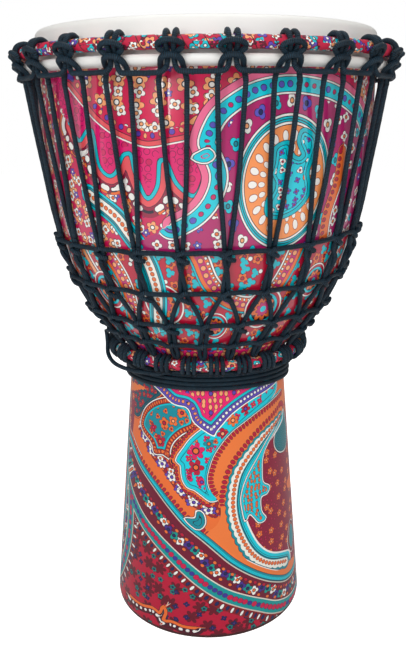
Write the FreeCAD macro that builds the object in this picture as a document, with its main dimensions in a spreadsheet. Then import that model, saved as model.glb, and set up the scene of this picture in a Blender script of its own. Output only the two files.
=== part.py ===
import FreeCAD, Part
import math
import os
import Sketcher

# Rope-tuned djembe: a moulded goblet shell wrapped in printed cloth, a skin head on a flesh ring,
# a cloth-wrapped crown ring and bottom ring, and one braided rope laced, woven and wound round it.
# Frame: +Z up, origin at the centre of the base, front of the drum towards -Y. Millimetres.

doc = FreeCAD.newDocument("djembe")
dims = doc.addObject("Spreadsheet::Sheet", "dims")

DRIVING = [
    # shell profile: radius and height of each corner, and the radius of each arc between them
    ("base_radius", 105.4),
    ("throat_radius", 81.2),
    ("throat_height", 285.0),
    ("throat_arc", 30.0),
    ("flank_radius", 89.2),
    ("flank_height", 308.0),
    ("flank_arc", 238.0),
    ("shoulder_radius", 146.0),
    ("shoulder_height", 412.0),
    ("shoulder_arc", 571.0),
    ("wall_radius", 163.4),
    ("wall_height", 560.0),
    ("rim_radius", 162.4),
    ("rim_height", 611.0),
    ("rim_round", 5.0),
    ("shell_wall", 5.5),
    ("cloth_thickness", 0.6),
    ("stem_cloth_bottom", 3.0),
    ("bowl_cloth_bottom", 320.0),
    ("bowl_cloth_top", 590.0),
    # head and the rings
    ("skin_thickness", 1.0),
    ("skin_gap", 0.1),
    ("ring_rod_radius", 4.0),
    ("flesh_ring_radius", 171.0),
    ("flesh_ring_height", 578.5),
    ("flesh_ring_gap", 0.3),
    ("crown_ring_radius", 176.0),
    ("crown_ring_height", 590.5),
    ("bottom_ring_radius", 97.5),
    ("bottom_ring_height", 303.0),
    ("ring_cloth_radius", 5.5),
    # rope
    ("rope_diameter", 4.5),
    ("rope_clearance", 0.2),
    ("row_clearance", 1.4),
    ("loop_count", 24),
    ("first_loop_angle", 6.3),
    ("first_bottom_angle", 4.8),
    ("hitch_clearance", 0.6),
    ("crown_hitch_gap", 0.3),
    ("crown_hitch_back", 190.0),
    ("crown_hitch_front", -48.0),
    ("crown_hitch_tail_radius", 179.6),
    ("crown_hitch_tail_height", 572.4),
    ("hitch_bar_half", 10.5),
    ("bottom_hitch_gap", 0.1),
    ("bottom_hitch_top", 62.0),
    ("bottom_hitch_back", -165.0),
    ("cradle_radius", 181.5),
    ("cradle_height", 568.5),
    ("run_top_radius", 174.3),
    ("run_top_height", 563.0),
    ("run_top_offset", 11.3),
    ("run_bend_offset", 7.6),
    ("run_middle_offset", 5.0),
    ("pair_gap", 0.15),
    ("cloth_lift", 0.7),
    ("run_bend_height", 484.0),
    ("row_1_height", 424.0),
    ("row_2_height", 385.0),
    ("row_3_height", 351.0),
    ("row_4_height", 328.0),
    ("bight_bottom_height", 316.0),
    ("belt_radius", 87.7),
    ("belt_height", 277.5),
    ("belt_tilt", 5.0),
    ("belt_turns", 5),
    ("belt_shift", 0.7),
    ("belt_start_angle", -28.0),
    ("belt_turn_gap", 0.15),
]
for row, (alias, value) in enumerate(DRIVING, start=1):
    dims.set(f"A{row}", alias)
    dims.set(f"B{row}", str(value))
    dims.setAlias(f"B{row}", alias)
doc.recompute()


def size(alias):
    """The number that a named cell of the sheet holds."""
    return float(dims.get(alias))


# --- shared helpers ---------------------------------------------------------------------------


def origin_plane(body, role):
    """The body's own origin plane or axis that has this role."""
    return next(f for f in body.Origin.OriginFeatures if f.Role == role)


def arc_middle(start, end, radius):
    """Middle of the shorter arc of this radius from start to end, bulging left of the chord for a
    positive radius and right of it for a negative one."""
    chord = end - start
    sagitta = abs(radius) - math.sqrt(radius**2 - (chord.Length / 2) ** 2)
    left = FreeCAD.Vector(-chord.y, chord.x, 0).normalize()
    return (start + end) / 2 + left * math.copysign(sagitta, radius)


def half_profile(body, name, corners):
    """A closed sketch in the XZ plane. Each corner is (radius, height, arc): two expressions, and
    the radius of the arc that leads to the next corner, or None for a straight line."""
    sketch = body.newObject("Sketcher::SketchObject", name)
    sketch.AttachmentSupport = [(origin_plane(body, "XZ_Plane"), "")]
    sketch.MapMode = "FlatFace"
    spots = [
        FreeCAD.Vector(float(sketch.evalExpression(r)), float(sketch.evalExpression(z)), 0)
        for r, z, arc in corners
    ]
    bends = []
    for index, (r, z, arc) in enumerate(corners):
        start = spots[index]
        end = spots[(index + 1) % len(spots)]
        if arc is None:
            sketch.addGeometry(Part.LineSegment(start, end), False)
            bends.append((1, 2))
        else:
            radius = float(sketch.evalExpression(arc[1])) * arc[0]
            curve = Part.Arc(start, arc_middle(start, end, radius), end)
            sketch.addGeometry(curve, False)
            # sketch arcs run anticlockwise, so one that bulges left of its chord is stored reversed
            bends.append((2, 1) if radius > 0 else (1, 2))
    for index, (r, z, arc) in enumerate(corners):
        after = (index + 1) % len(corners)
        sketch.addConstraint(
            Sketcher.Constraint("Coincident", index, bends[index][1], after, bends[after][0])
        )
    for index, (r, z, arc) in enumerate(corners):
        spot = spots[index]
        bind(sketch, Sketcher.Constraint("DistanceX", -1, 1, index, bends[index][0], spot.x), r)
        bind(sketch, Sketcher.Constraint("DistanceY", -1, 1, index, bends[index][0], spot.y), z)
        if arc is not None:
            radius = float(sketch.evalExpression(arc[1]))
            bind(sketch, Sketcher.Constraint("Radius", index, radius), arc[1])
    return sketch


def bind(sketch, constraint, expression):
    """Adds a constraint whose value the sheet drives."""
    number = sketch.addConstraint(constraint)
    sketch.setExpression(f"Constraints[{number}]", expression)


def turned_body(label, corners):
    """A body with one profile turned round the Z axis."""
    body = doc.addObject("PartDesign::Body", label)
    body.Label = label
    sketch = half_profile(body, f"{label}_profile", corners)
    turn = body.newObject("PartDesign::Revolution", f"{label}_turned")
    turn.Profile = sketch
    turn.ReferenceAxis = (sketch, ["V_Axis"])
    turn.Angle = 360
    doc.recompute()
    return body


def hollow(body, corners):
    """Cuts the turned inside out of a turned body, and compares the volume before and after."""
    before = body.Shape.Volume
    sketch = half_profile(body, f"{body.Label}_inside", corners)
    groove = body.newObject("PartDesign::Groove", f"{body.Label}_bored")
    groove.Profile = sketch
    groove.ReferenceAxis = (sketch, ["V_Axis"])
    groove.Angle = 360
    doc.recompute()
    if body.Shape.Volume > 0.5 * before:
        raise RuntimeError(f"{body.Label} was not hollowed")
    return body


def ring(label, major, minor, height):
    """A round bar bent into a ring."""
    torus = doc.addObject("Part::Torus", label)
    torus.Label = label
    torus.setExpression("Radius1", major)
    torus.setExpression("Radius2", minor)
    torus.setExpression("Placement.Base.z", height)
    return torus


def wound_cloth(label, major, bar, outer, height):
    """Cloth wound round a ring: the ring's outer tube less the bar inside it."""
    tube = ring(f"{label}_tube", major, outer, height)
    core = ring(f"{label}_core", major, bar, height)
    cut = doc.addObject("Part::Cut", label)
    cut.Label = label
    cut.Base = tube
    cut.Tool = core
    return cut


def shell_radius(z):
    """Outer radius of the bare shell at a height, from the same corners and arcs as its sketch."""
    corners = [
        ("throat_radius", "throat_height", "throat_arc", 1),
        ("flank_radius", "flank_height", "flank_arc", -1),
        ("shoulder_radius", "shoulder_height", "shoulder_arc", -1),
        ("wall_radius", "wall_height", None, 0),
    ]
    if z <= size("throat_height"):
        share = z / size("throat_height")
        return size("base_radius") + share * (size("throat_radius") - size("base_radius"))
    if z >= size("wall_height"):
        share = (z - size("wall_height")) / (size("rim_height") - size("rim_round") - size("wall_height"))
        return size("wall_radius") + share * (size("rim_radius") - size("wall_radius"))
    for low, high in zip(corners, corners[1:]):
        if z <= size(high[1]):
            start = FreeCAD.Vector(size(low[0]), size(low[1]), 0)
            end = FreeCAD.Vector(size(high[0]), size(high[1]), 0)
            radius = low[3] * size(low[2])
            middle = arc_middle(start, end, radius)
            centre = middle + ((start + end) / 2 - middle).normalize() * abs(radius)
            reach = math.sqrt(radius**2 - (z - centre.y) ** 2)
            return centre.x - reach if radius > 0 else centre.x + reach
    raise ValueError(z)


def around(angle, radius, z):
    """A point at this angle, counted in degrees from the front (-Y) towards +X."""
    turn = math.radians(angle)
    return FreeCAD.Vector(radius * math.sin(turn), -radius * math.cos(turn), z)


def beside(angle, offset, radius, z):
    """A point this far round from the middle of a column, measured along the tangent."""
    turn = math.radians(angle)
    tangent = FreeCAD.Vector(math.cos(turn), math.sin(turn), 0)
    return around(angle, radius, z) + tangent * offset


def rope(points, share=0.45, radii=None):
    """A round rope along straight runs joined by tangent arcs. Each arc takes this share of the
    shorter run beside it, and its radius is added to the list of radii if there is one."""
    edges = []
    spots = list(points)
    last = spots[0]
    for before, corner, after in zip(spots, spots[1:], spots[2:]):
        inwards = corner - before
        outwards = after - corner
        turn = inwards.getAngle(outwards)
        if turn < 1e-4:
            continue
        reach = share * min(inwards.Length, outwards.Length)
        start = corner - inwards.normalize() * reach
        end = corner + outwards.normalize() * reach
        half = (start + end) / 2
        arc_radius = reach / math.tan(turn / 2)
        centre = corner + (half - corner).normalize() * (arc_radius / math.cos(turn / 2))
        middle = centre + (corner - centre).normalize() * arc_radius
        if last.distanceToPoint(start) > 1e-6:
            edges.append(Part.LineSegment(last, start).toShape())
        edges.append(Part.Arc(start, middle, end).toShape())
        last = end
        if radii is not None:
            radii.append(arc_radius)
    edges.append(Part.LineSegment(last, spots[-1]).toShape())
    path = Part.Wire(edges)
    section = Part.Circle(spots[0], spots[1] - spots[0], size("rope_diameter") / 2).toShape()
    solid = path.makePipeShell([Part.Wire([section])], True, False)
    expected = math.pi * (size("rope_diameter") / 2) ** 2 * path.Length
    if abs(solid.Volume / expected - 1) > 0.01:
        raise RuntimeError(f"rope volume {solid.Volume:.0f} but {expected:.0f} expected")
    return solid


def shaped(label, solids):
    """A feature that holds solids made with Part's own functions."""
    feature = doc.addObject("Part::Feature", label)
    feature.Label = label
    feature.Shape = solids[0] if len(solids) == 1 else Part.makeCompound(solids)
    feature.Placement = FreeCAD.Placement()
    return feature


BUILT = []

# --- shell and its cloth ----------------------------------------------------------------------

LOW = ("dims.throat_radius", "dims.throat_height", (1, "dims.throat_arc"))
FLANK = ("dims.flank_radius", "dims.flank_height", (-1, "dims.flank_arc"))
SHOULDER = ("dims.shoulder_radius", "dims.shoulder_height", (-1, "dims.shoulder_arc"))
WALL = ("dims.wall_radius", "dims.wall_height", None)


def make_shell():
    """The moulded shell: stem, waist, bowl and rounded bearing edge. The mould's core has the same
    profile, one wall nearer the axis."""
    outside = [
        ("0", "0", None),
        ("dims.base_radius", "0", None),
        LOW,
        FLANK,
        SHOULDER,
        WALL,
        ("dims.rim_radius", "dims.rim_height - dims.rim_round", (-1, "dims.rim_round")),
        ("dims.rim_radius - dims.rim_round", "dims.rim_height", None),
        ("0", "dims.rim_height", None),
    ]
    inside = [("0", "0", None)]
    for radius, level, arc in outside[1:6]:
        inside.append((f"{radius} - dims.shell_wall", level, arc))
    inside.append(("dims.rim_radius - dims.shell_wall", "dims.rim_height", None))
    inside.append(("0", "dims.rim_height", None))
    return hollow(turned_body("shell", outside), inside)


def cloth_band(label, low, high):
    """Cloth bonded to the shell between two heights: the zone between the shell's surface and a
    surface one cloth thickness outside it."""
    levels = [z for z in (size("throat_height"), size("flank_height"), size("shoulder_height"),
                          size("wall_height")) if low < z < high]
    stops = [low, *levels, high]
    cloth = size("cloth_thickness")
    inner = [FreeCAD.Vector(shell_radius(z), 0, z) for z in stops]
    edges = []
    for start, end in zip(inner, inner[1:]):
        z = (start.z + end.z) / 2
        middle = FreeCAD.Vector(shell_radius(z), 0, z)
        straight = abs(middle.x - (start.x + end.x) / 2) < 1e-6
        curve = Part.LineSegment(start, end) if straight else Part.Arc(start, middle, end)
        edges.append(curve.toShape())
    line = Part.Wire(edges)
    outline = line.makeOffset2D(-cloth, 0, True, True)
    grown = outline if isinstance(outline, Part.Face) else Part.Face(outline)
    solid = grown.revolve(FreeCAD.Vector(0, 0, 0), FreeCAD.Vector(0, 0, 1), 360)
    return shaped(label, [solid])


def make_head():
    """The skin: flat over the shell's mouth, round the bearing edge, down to the flesh ring, under
    it and up its outside."""
    skin = "dims.skin_gap + dims.skin_thickness"
    hook_in = "(dims.ring_rod_radius + dims.flesh_ring_gap)"
    hook_out = "(dims.ring_rod_radius + dims.flesh_ring_gap + dims.skin_thickness)"
    middle = "dims.flesh_ring_radius"
    level = "dims.flesh_ring_height"
    edge = "dims.rim_radius - dims.rim_round"
    lip = "0.7071"
    return turned_body(
        "drum_head",
        [
            ("0", "dims.rim_height + dims.skin_gap", None),
            (edge, "dims.rim_height + dims.skin_gap", (1, "dims.rim_round + dims.skin_gap")),
            ("dims.rim_radius + dims.skin_gap", "dims.rim_height - dims.rim_round", None),
            (f"{middle} - {hook_out}", level, (-1, hook_out)),
            (f"{middle}", f"{level} - {hook_out}", (-1, hook_out)),
            (f"{middle} + {hook_out} * {lip}", f"{level} + {hook_out} * {lip}", None),
            (f"{middle} + {hook_in} * {lip}", f"{level} + {hook_in} * {lip}", (1, hook_in)),
            (f"{middle}", f"{level} - {hook_in}", (1, hook_in)),
            (f"{middle} - {hook_in}", level, None),
            (f"dims.rim_radius + {skin}", "dims.rim_height - dims.rim_round",
             (-1, f"dims.rim_round + {skin}")),
            (edge, f"dims.rim_height + {skin}", None),
            ("0", f"dims.rim_height + {skin}", None),
        ],
    )


# --- rope -------------------------------------------------------------------------------------

ROPE = size("rope_diameter")
HALF = ROPE / 2
CLEAR = size("rope_clearance")
COUNT = int(size("loop_count"))
PITCH = 360 / COUNT
CLOTH = size("cloth_thickness")


def run_radius(z):
    """Radius of a rope's centre line that lies on the cloth at a height."""
    return shell_radius(z) + CLOTH + HALF + CLEAR + size("cloth_lift")


def columns(first):
    """The angles of all the columns of loops."""
    return [first + PITCH * index for index in range(COUNT)]


def hook(angle, offset, ring_radius, ring_height, first, last, tail):
    """A strand of a hitch: an arc round a wrapped ring from one angle in the ring's section to
    another, and a straight tail of a given drop at the end. Angles are degrees above outwards."""
    reach = size("ring_cloth_radius") + HALF + size("hitch_clearance")
    turns = max(2, round(abs(last - first) / 30))
    angles = [math.radians(first + (last - first) * i / turns) for i in range(turns + 1)]
    grow = reach / math.cos(math.radians(abs(last - first) / turns / 2))
    points = []
    for index, a in enumerate(angles):
        far = reach if index in (0, turns) else grow
        points.append(
            beside(angle, offset, ring_radius + far * math.cos(a), ring_height + far * math.sin(a))
        )
    if tail is not None:
        points.append(beside(angle, offset, *tail))
    return rope(points, 0.45)


def taut_ring(first, radius, level):
    """A taut rope once round the drum: straight from column to column, with a small arc at each,
    and its two ends a hair apart between the last column and the first."""
    corners = [around(first + PITCH * index, radius, level) for index in range(COUNT + 1)]
    start = (corners[0] + corners[1]) / 2
    end = start - (corners[1] - corners[0]).normalize() * size("rope_clearance")
    return rope([start, *corners[1:], end], 0.12)


def make_crown_hitches():
    """Two strands of the cradle rope over the crown ring at each column, and the bar in front."""
    solids = []
    reach = size("ring_cloth_radius") + HALF + size("hitch_clearance")
    tail = (size("crown_hitch_tail_radius"), size("crown_hitch_tail_height"))
    half = size("hitch_bar_half")
    for angle in columns(size("first_loop_angle")):
        for side in (-1, 1):
            solids.append(
                hook(angle, side * (HALF + size("crown_hitch_gap")), size("crown_ring_radius"),
                     size("crown_ring_height"), size("crown_hitch_back"), size("crown_hitch_front"),
                     tail)
            )
        front = size("crown_ring_radius") + reach + ROPE + 0.25
        level = size("crown_ring_height") + 1.0
        bar = [
            beside(angle, -half, front - 6.5, level - 2.5),
            beside(angle, -half * 2 / 3, front - 1.2, level),
            beside(angle, 0, front, level + 0.4),
            beside(angle, half * 2 / 3, front - 1.2, level),
            beside(angle, half, front - 6.5, level - 2.5),
        ]
        solids.append(rope(bar))
    return shaped("crown_hitches", solids)


def make_crown_cradle():
    """The cradle rope's level runs from one hitch to the next."""
    level = size("cradle_height")
    ring_of_rope = taut_ring(size("first_loop_angle"), size("cradle_radius"), level)
    return shaped("crown_cradle_rope", [ring_of_rope])


def make_bights():
    """The tension rope's bend over the cradle rope at each column."""
    solids = []
    for angle in columns(size("first_loop_angle")):
        half = [
            (11.4, size("run_top_radius"), size("run_top_height")),
            (9.3, 175.3, 571.4),
            (7.9, 181.6, 577.2),
            (4.6, 185.6, 579.4),
        ]
        left = [beside(angle, -t, r, z) for t, r, z in half]
        right = [beside(angle, t, r, z) for t, r, z in reversed(half)]
        solids.append(rope([*left, *right]))
    return shaped("tension_rope_bights", solids)


def make_upper_runs():
    """48 runs from the bights straight to the first woven row, closing up in pairs."""
    solids = []
    top = size("run_top_height")
    bend = size("run_bend_height")
    low = size("row_1_height")
    levels = [bend, (bend + low) / 2, low]
    spread = [size("run_bend_offset"), size("run_middle_offset"), HALF + size("pair_gap")]
    for angle in columns(size("first_loop_angle")):
        for side in (-1, 1):
            points = [
                beside(angle, side * size("run_top_offset"), size("run_top_radius") - CLEAR, top - 1.6)
            ]
            points += [
                beside(angle, side * offset, run_radius(z), z) for offset, z in zip(spread, levels)
            ]
            solids.append(rope(points))
    return shaped("tension_rope_upper", solids)


def on_bowl(start, end, pieces):
    """Points that follow the bowl from one (angle, offset, height) to another, without the last."""
    points = []
    for index in range(pieces):
        share = index / pieces
        angle, offset, level = (a + share * (b - a) for a, b in zip(start, end))
        points.append(beside(angle, offset, run_radius(level), level))
    return points


def make_lower_runs():
    """Below the first row each pair opens; neighbours meet at the third row and run down side by
    side to a bend on the bottom ring."""
    solids = []
    gap = HALF + size("pair_gap")
    turn_down = size("first_bottom_angle") - size("first_loop_angle") + PITCH / 2
    low = size("bight_bottom_height")
    levels = (size("row_1_height") - 1.0, size("row_2_height"), size("row_3_height"), low + 5)
    for angle in columns(size("first_loop_angle")):
        bottom = angle + turn_down
        columns_left = (angle, angle, angle + PITCH / 2, bottom)
        stops = [(a, o, z) for a, o, z in zip(columns_left, (gap, gap, -gap, -gap), levels)]
        left = on_bowl(stops[0], stops[1], 2) + on_bowl(stops[1], stops[2], 3)
        left += on_bowl(stops[2], stops[3], 2) + [beside(bottom, -gap, run_radius(low + 5), low + 5)]
        columns_right = (angle + PITCH, angle + PITCH, angle + PITCH / 2, bottom)
        stops = [(a, -o, z) for a, o, z in zip(columns_right, (gap, gap, -gap, -gap), levels)]
        right = on_bowl(stops[0], stops[1], 2) + on_bowl(stops[1], stops[2], 3)
        right += on_bowl(stops[2], stops[3], 2) + [beside(bottom, gap, run_radius(low + 5), low + 5)]
        turn = [
            beside(bottom, -gap, run_radius(low) + 0.6, low - 1.0),
            beside(bottom, gap, run_radius(low) + 0.6, low - 1.0),
        ]
        solids.append(rope([*left, *turn, *reversed(right)]))
    return shaped("tension_rope_lower", solids)


def make_weave_row(number):
    """One row of the rope's tail, drawn round outside all the runs."""
    level = size(f"row_{number}_height")
    reach = run_radius(level) + ROPE + size("row_clearance")
    shift = size("first_loop_angle") if number < 3 else size("first_loop_angle") + PITCH / 2
    return shaped(f"weave_rope_row_{number}", [taut_ring(shift, reach, level)])


def make_bottom_hitches():
    """The strands that hold the lower bends on the bottom ring."""
    solids = []
    for angle in columns(size("first_bottom_angle")):
        for side in (-1, 1):
            solids.append(
                hook(angle, side * (HALF + size("bottom_hitch_gap")), size("bottom_ring_radius"),
                     size("bottom_ring_height"), size("bottom_hitch_top"),
                     size("bottom_hitch_back"), None)
            )
    return shaped("bottom_hitches", solids)


def make_belt():
    """The rest of the tail wound round the waist, one turn below the other."""
    turns = int(size("belt_turns"))
    per_turn = 16
    pitch = ROPE + size("belt_turn_gap")
    tilt = FreeCAD.Rotation(FreeCAD.Vector(1, 0, 0), -size("belt_tilt"))
    centre = FreeCAD.Vector(0, size("belt_shift"), size("belt_height"))
    reach = size("belt_radius") / math.cos(math.pi / per_turn)
    points = []
    for index in range(turns * per_turn + 1):
        share = index / per_turn
        turn = size("belt_start_angle") + 360 * share
        spot = around(turn, reach, (turns / 2 - share) * pitch)
        points.append(centre + tilt.multVec(spot))
    return shaped("waist_belt_rope", [rope(points, 0.49)])


DROP = [(-106.4, -22.6, 319.0), (-105.0, -23.6, 306.5), (-105.2, -31.6, 296.0), (-98.2, -45.8, 290.0),
        (-86.0, -58.5, 288.4), (-72.0, -69.0, 288.2), (-57.0, -76.5, 289.0)]


def make_drop():
    """The slack stretch of tail between the last woven row and the belt."""
    radii = []
    solid = rope([FreeCAD.Vector(*spot) for spot in DROP], 0.45, radii)
    print("tail_rope_drop arc radii", [round(r, 1) for r in radii])
    length = solid.Volume / (math.pi * HALF**2)
    print("tail_rope_drop length", round(length, 1))
    return shaped("tail_rope_drop", [solid])


BUILT.append(make_shell())
BUILT.append(cloth_band("bowl_cloth", size("bowl_cloth_bottom"), size("bowl_cloth_top")))
BUILT.append(cloth_band("stem_cloth", size("stem_cloth_bottom"), size("bowl_cloth_bottom") - 0.3))
BUILT.append(make_head())
BUILT.append(ring("flesh_ring", "dims.flesh_ring_radius", "dims.ring_rod_radius",
                  "dims.flesh_ring_height"))
BUILT.append(ring("crown_ring", "dims.crown_ring_radius", "dims.ring_rod_radius",
                  "dims.crown_ring_height"))
BUILT.append(wound_cloth("crown_ring_cloth", "dims.crown_ring_radius", "dims.ring_rod_radius",
                         "dims.ring_cloth_radius", "dims.crown_ring_height"))
BUILT.append(ring("bottom_ring", "dims.bottom_ring_radius", "dims.ring_rod_radius",
                  "dims.bottom_ring_height"))
BUILT.append(wound_cloth("bottom_ring_cloth", "dims.bottom_ring_radius", "dims.ring_rod_radius",
                         "dims.ring_cloth_radius", "dims.bottom_ring_height"))
BUILT.append(make_crown_hitches())
BUILT.append(make_crown_cradle())
BUILT.append(make_bights())
BUILT.append(make_upper_runs())
BUILT.append(make_lower_runs())
for row_number in (1, 2, 3, 4):
    BUILT.append(make_weave_row(row_number))
BUILT.append(make_bottom_hitches())
BUILT.append(make_belt())
BUILT.append(make_drop())

doc.recompute()

# --- checks and export ------------------------------------------------------------------------

for item in doc.Objects:
    if "Invalid" in item.State or "Error" in item.State:
        raise RuntimeError(f"{item.Label} failed: {item.State}")
for item in BUILT:
    if item.Shape.isNull() or not item.Shape.isValid():
        raise RuntimeError(f"{item.Label} has no valid shape")
os.makedirs("parts", exist_ok=True)
for item in BUILT:
    print(item.Label, "volume", round(item.Shape.Volume), "solids", len(item.Shape.Solids))
    item.Shape.exportStep(f"parts/{item.Label}.step")
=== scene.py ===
# %% [markdown]
# # A rope-tuned djembe
# The drum is a goblet shell wrapped in printed cloth. A white skin is drawn over its mouth by two
# rings and one long braided rope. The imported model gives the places; every surface here is worked
# out with numpy on a grid and laid over it.

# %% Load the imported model
import math
import bpy
import numpy as np
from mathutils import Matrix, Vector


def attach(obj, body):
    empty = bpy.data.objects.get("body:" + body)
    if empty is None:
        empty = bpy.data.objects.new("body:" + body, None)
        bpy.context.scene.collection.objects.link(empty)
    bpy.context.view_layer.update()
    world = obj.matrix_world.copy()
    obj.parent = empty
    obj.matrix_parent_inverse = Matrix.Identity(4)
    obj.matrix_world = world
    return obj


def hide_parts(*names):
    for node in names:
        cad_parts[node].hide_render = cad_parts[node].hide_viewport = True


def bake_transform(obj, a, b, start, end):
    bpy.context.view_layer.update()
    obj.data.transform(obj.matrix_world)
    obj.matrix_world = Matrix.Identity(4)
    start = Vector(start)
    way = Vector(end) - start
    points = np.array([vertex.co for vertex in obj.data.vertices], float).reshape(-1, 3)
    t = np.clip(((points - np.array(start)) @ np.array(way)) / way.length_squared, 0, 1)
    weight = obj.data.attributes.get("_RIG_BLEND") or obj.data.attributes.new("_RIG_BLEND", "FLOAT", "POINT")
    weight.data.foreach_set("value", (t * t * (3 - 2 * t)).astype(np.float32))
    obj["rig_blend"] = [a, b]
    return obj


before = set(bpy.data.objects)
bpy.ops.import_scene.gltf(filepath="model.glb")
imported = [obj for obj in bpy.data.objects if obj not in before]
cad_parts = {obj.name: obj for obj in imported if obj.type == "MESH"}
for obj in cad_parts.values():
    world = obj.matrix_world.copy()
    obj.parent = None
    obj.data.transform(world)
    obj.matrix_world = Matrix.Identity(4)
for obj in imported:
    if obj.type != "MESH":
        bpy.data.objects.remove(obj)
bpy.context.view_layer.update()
MM = 0.001
RNG = np.random.default_rng(24)

# %% [markdown]
# ## The turned profile
# The shell was moulded on a turned form, so one outline of straight lines and tangent arcs gives
# all its radii. The same corners drive the solid model.

# %% Outline of the shell: radius, height, and the arc to the next corner
OUTLINE = [
    (105.4, 0.0, None), (81.2, 285.0, 30.0), (89.2, 308.0, -238.0),
    (146.0, 412.0, -571.0), (163.4, 560.0, None), (162.4, 606.0, None),
]
CLOTH, ROPE = 0.6, 4.5   # thickness of the cloth and of the rope, in mm
COUNT = 24
PITCH = 2 * math.pi / COUNT
FIRST_TOP, FIRST_BOTTOM = math.radians(6.3), math.radians(4.8)


def shell_radius(z):
    """Radius of the bare shell at heights z (mm): a straight line or a circle's arc between each
    pair of corners. A positive arc bulges towards the axis, a negative one away from it."""
    z = np.asarray(z, float)
    out = np.full(z.shape, OUTLINE[-1][0])
    for (r0, z0, arc), (r1, z1, _) in zip(OUTLINE, OUTLINE[1:]):
        here = (z >= z0) & (z <= z1)
        if arc is None:
            out = np.where(here, r0 + (z - z0) / (z1 - z0) * (r1 - r0), out)
            continue
        half = math.hypot(r1 - r0, z1 - z0) / 2
        reach = math.sqrt(arc * arc - half * half)
        across = np.array([z1 - z0, -(r1 - r0)]) / (2 * half)
        middle = np.array([(r0 + r1) / 2, (z0 + z1) / 2])
        centre = middle + across * reach * np.sign(arc)
        root = np.sqrt(np.maximum(arc * arc - (z - centre[1]) ** 2, 0))
        out = np.where(here, centre[0] - np.sign(arc) * root, out)
    return out


print("waist radius", float(shell_radius(288.0)), "shoulder", float(shell_radius(484.0)))


# %% Helpers that put arrays into meshes
def mesh_piece(name, points, faces, uv=None, smooth=True):
    """A mesh object from points in mm (n x 3), quads (m x 4) and a UV pair per face corner."""
    mesh = bpy.data.meshes.new(name)
    mesh.vertices.add(len(points))
    mesh.vertices.foreach_set("co", (np.asarray(points, float) * MM).astype(np.float32).ravel())
    mesh.loops.add(faces.size)
    mesh.loops.foreach_set("vertex_index", faces.astype(np.int32).ravel())
    mesh.polygons.add(len(faces))
    mesh.polygons.foreach_set("loop_start", np.arange(0, faces.size, 4, dtype=np.int32))
    mesh.polygons.foreach_set("use_smooth", np.full(len(faces), smooth))
    if uv is not None:
        layer = mesh.uv_layers.new(name="cloth")
        layer.data.foreach_set("uv", uv.astype(np.float32).ravel())
    mesh.update(calc_edges=True)
    mesh.validate()
    piece = bpy.data.objects.new(name, mesh)
    bpy.context.scene.collection.objects.link(piece)
    return piece


def grid_faces(rows, columns, close_rows, close_columns):
    """Quads of a rows x columns grid, joined end to end where asked, and each corner's row and
    column counted on past the seam."""
    i = np.arange(rows if close_rows else rows - 1)
    j = np.arange(columns if close_columns else columns - 1)
    i, j = [a.ravel() for a in np.meshgrid(i, j, indexing="ij")]
    corner_i = np.stack([i, i, i + 1, i + 1], 1)
    corner_j = np.stack([j, j + 1, j + 1, j], 1)
    return (corner_i % rows) * columns + corner_j % columns, corner_i, corner_j


def turned(name, profile, segments, uv_radius, heights=None, closed=True, ripple=None):
    """A profile of (radius, height) rows turned round Z: x = r sin a, y = -r cos a, so the angle a
    counts from the front. UV is (a x uv_radius, height) in mm."""
    profile = np.asarray(profile, float)
    a = np.linspace(-math.pi, math.pi, segments, endpoint=False)
    radius = profile[:, :1] + (0 if ripple is None else ripple(a[None, :], profile[:, 1:]))
    height = np.broadcast_to(profile[:, 1:],
                             radius.shape if ripple is not None else (len(profile), segments))
    radius = np.broadcast_to(radius, height.shape)
    points = np.stack([radius * np.sin(a), -radius * np.cos(a), height], -1).reshape(-1, 3)
    faces, ci, cj = grid_faces(len(profile), segments, closed, True)
    level = profile[:, 1] if heights is None else heights
    turn = -math.pi + cj * (2 * math.pi / segments)
    uv = np.stack([turn * uv_radius, level[ci % len(profile)]], -1)
    return mesh_piece(name, points, faces, uv)


def smooth_path(points, step, closed=False):
    """A Catmull-Rom curve through points (columns x n x 3) at about equal steps in mm: each span is
    a cubic whose end tangents are half the vector between the neighbours."""
    p = np.asarray(points, float)
    if closed:
        p = np.concatenate([p[:, -1:], p, p[:, :2]], 1)
    else:
        p = np.concatenate([2 * p[:, :1] - p[:, 1:2], p, 2 * p[:, -1:] - p[:, -2:-1]], 1)
    spans = p.shape[1] - 3
    t = np.linspace(0, 1, 16, endpoint=False)[None, None, :, None]
    a, b, c, d = (p[:, k:k + spans, None, :] for k in range(4))
    q = 0.5 * (2 * b + (c - a) * t + (2 * a - 5 * b + 4 * c - d) * t**2 + (3 * b - a - 3 * c + d) * t**3)
    q = q.reshape(len(p), -1, 3)
    q = np.concatenate([q, q[:, :1] if closed else p[:, -2:-1]], 1)
    length = np.concatenate([np.zeros((len(p), 1)),
                             np.cumsum(np.linalg.norm(np.diff(q, axis=1), axis=2), 1)], 1)
    count = max(8, int(length[0, -1] / step))
    share = np.linspace(0, 1, count, endpoint=not closed)
    out = np.empty((len(p), count, 3))
    for k in range(len(p)):
        for axis in range(3):
            out[k, :, axis] = np.interp(share * length[k, -1], length[k], q[k, :, axis])
    return out, length[:, -1]


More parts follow.
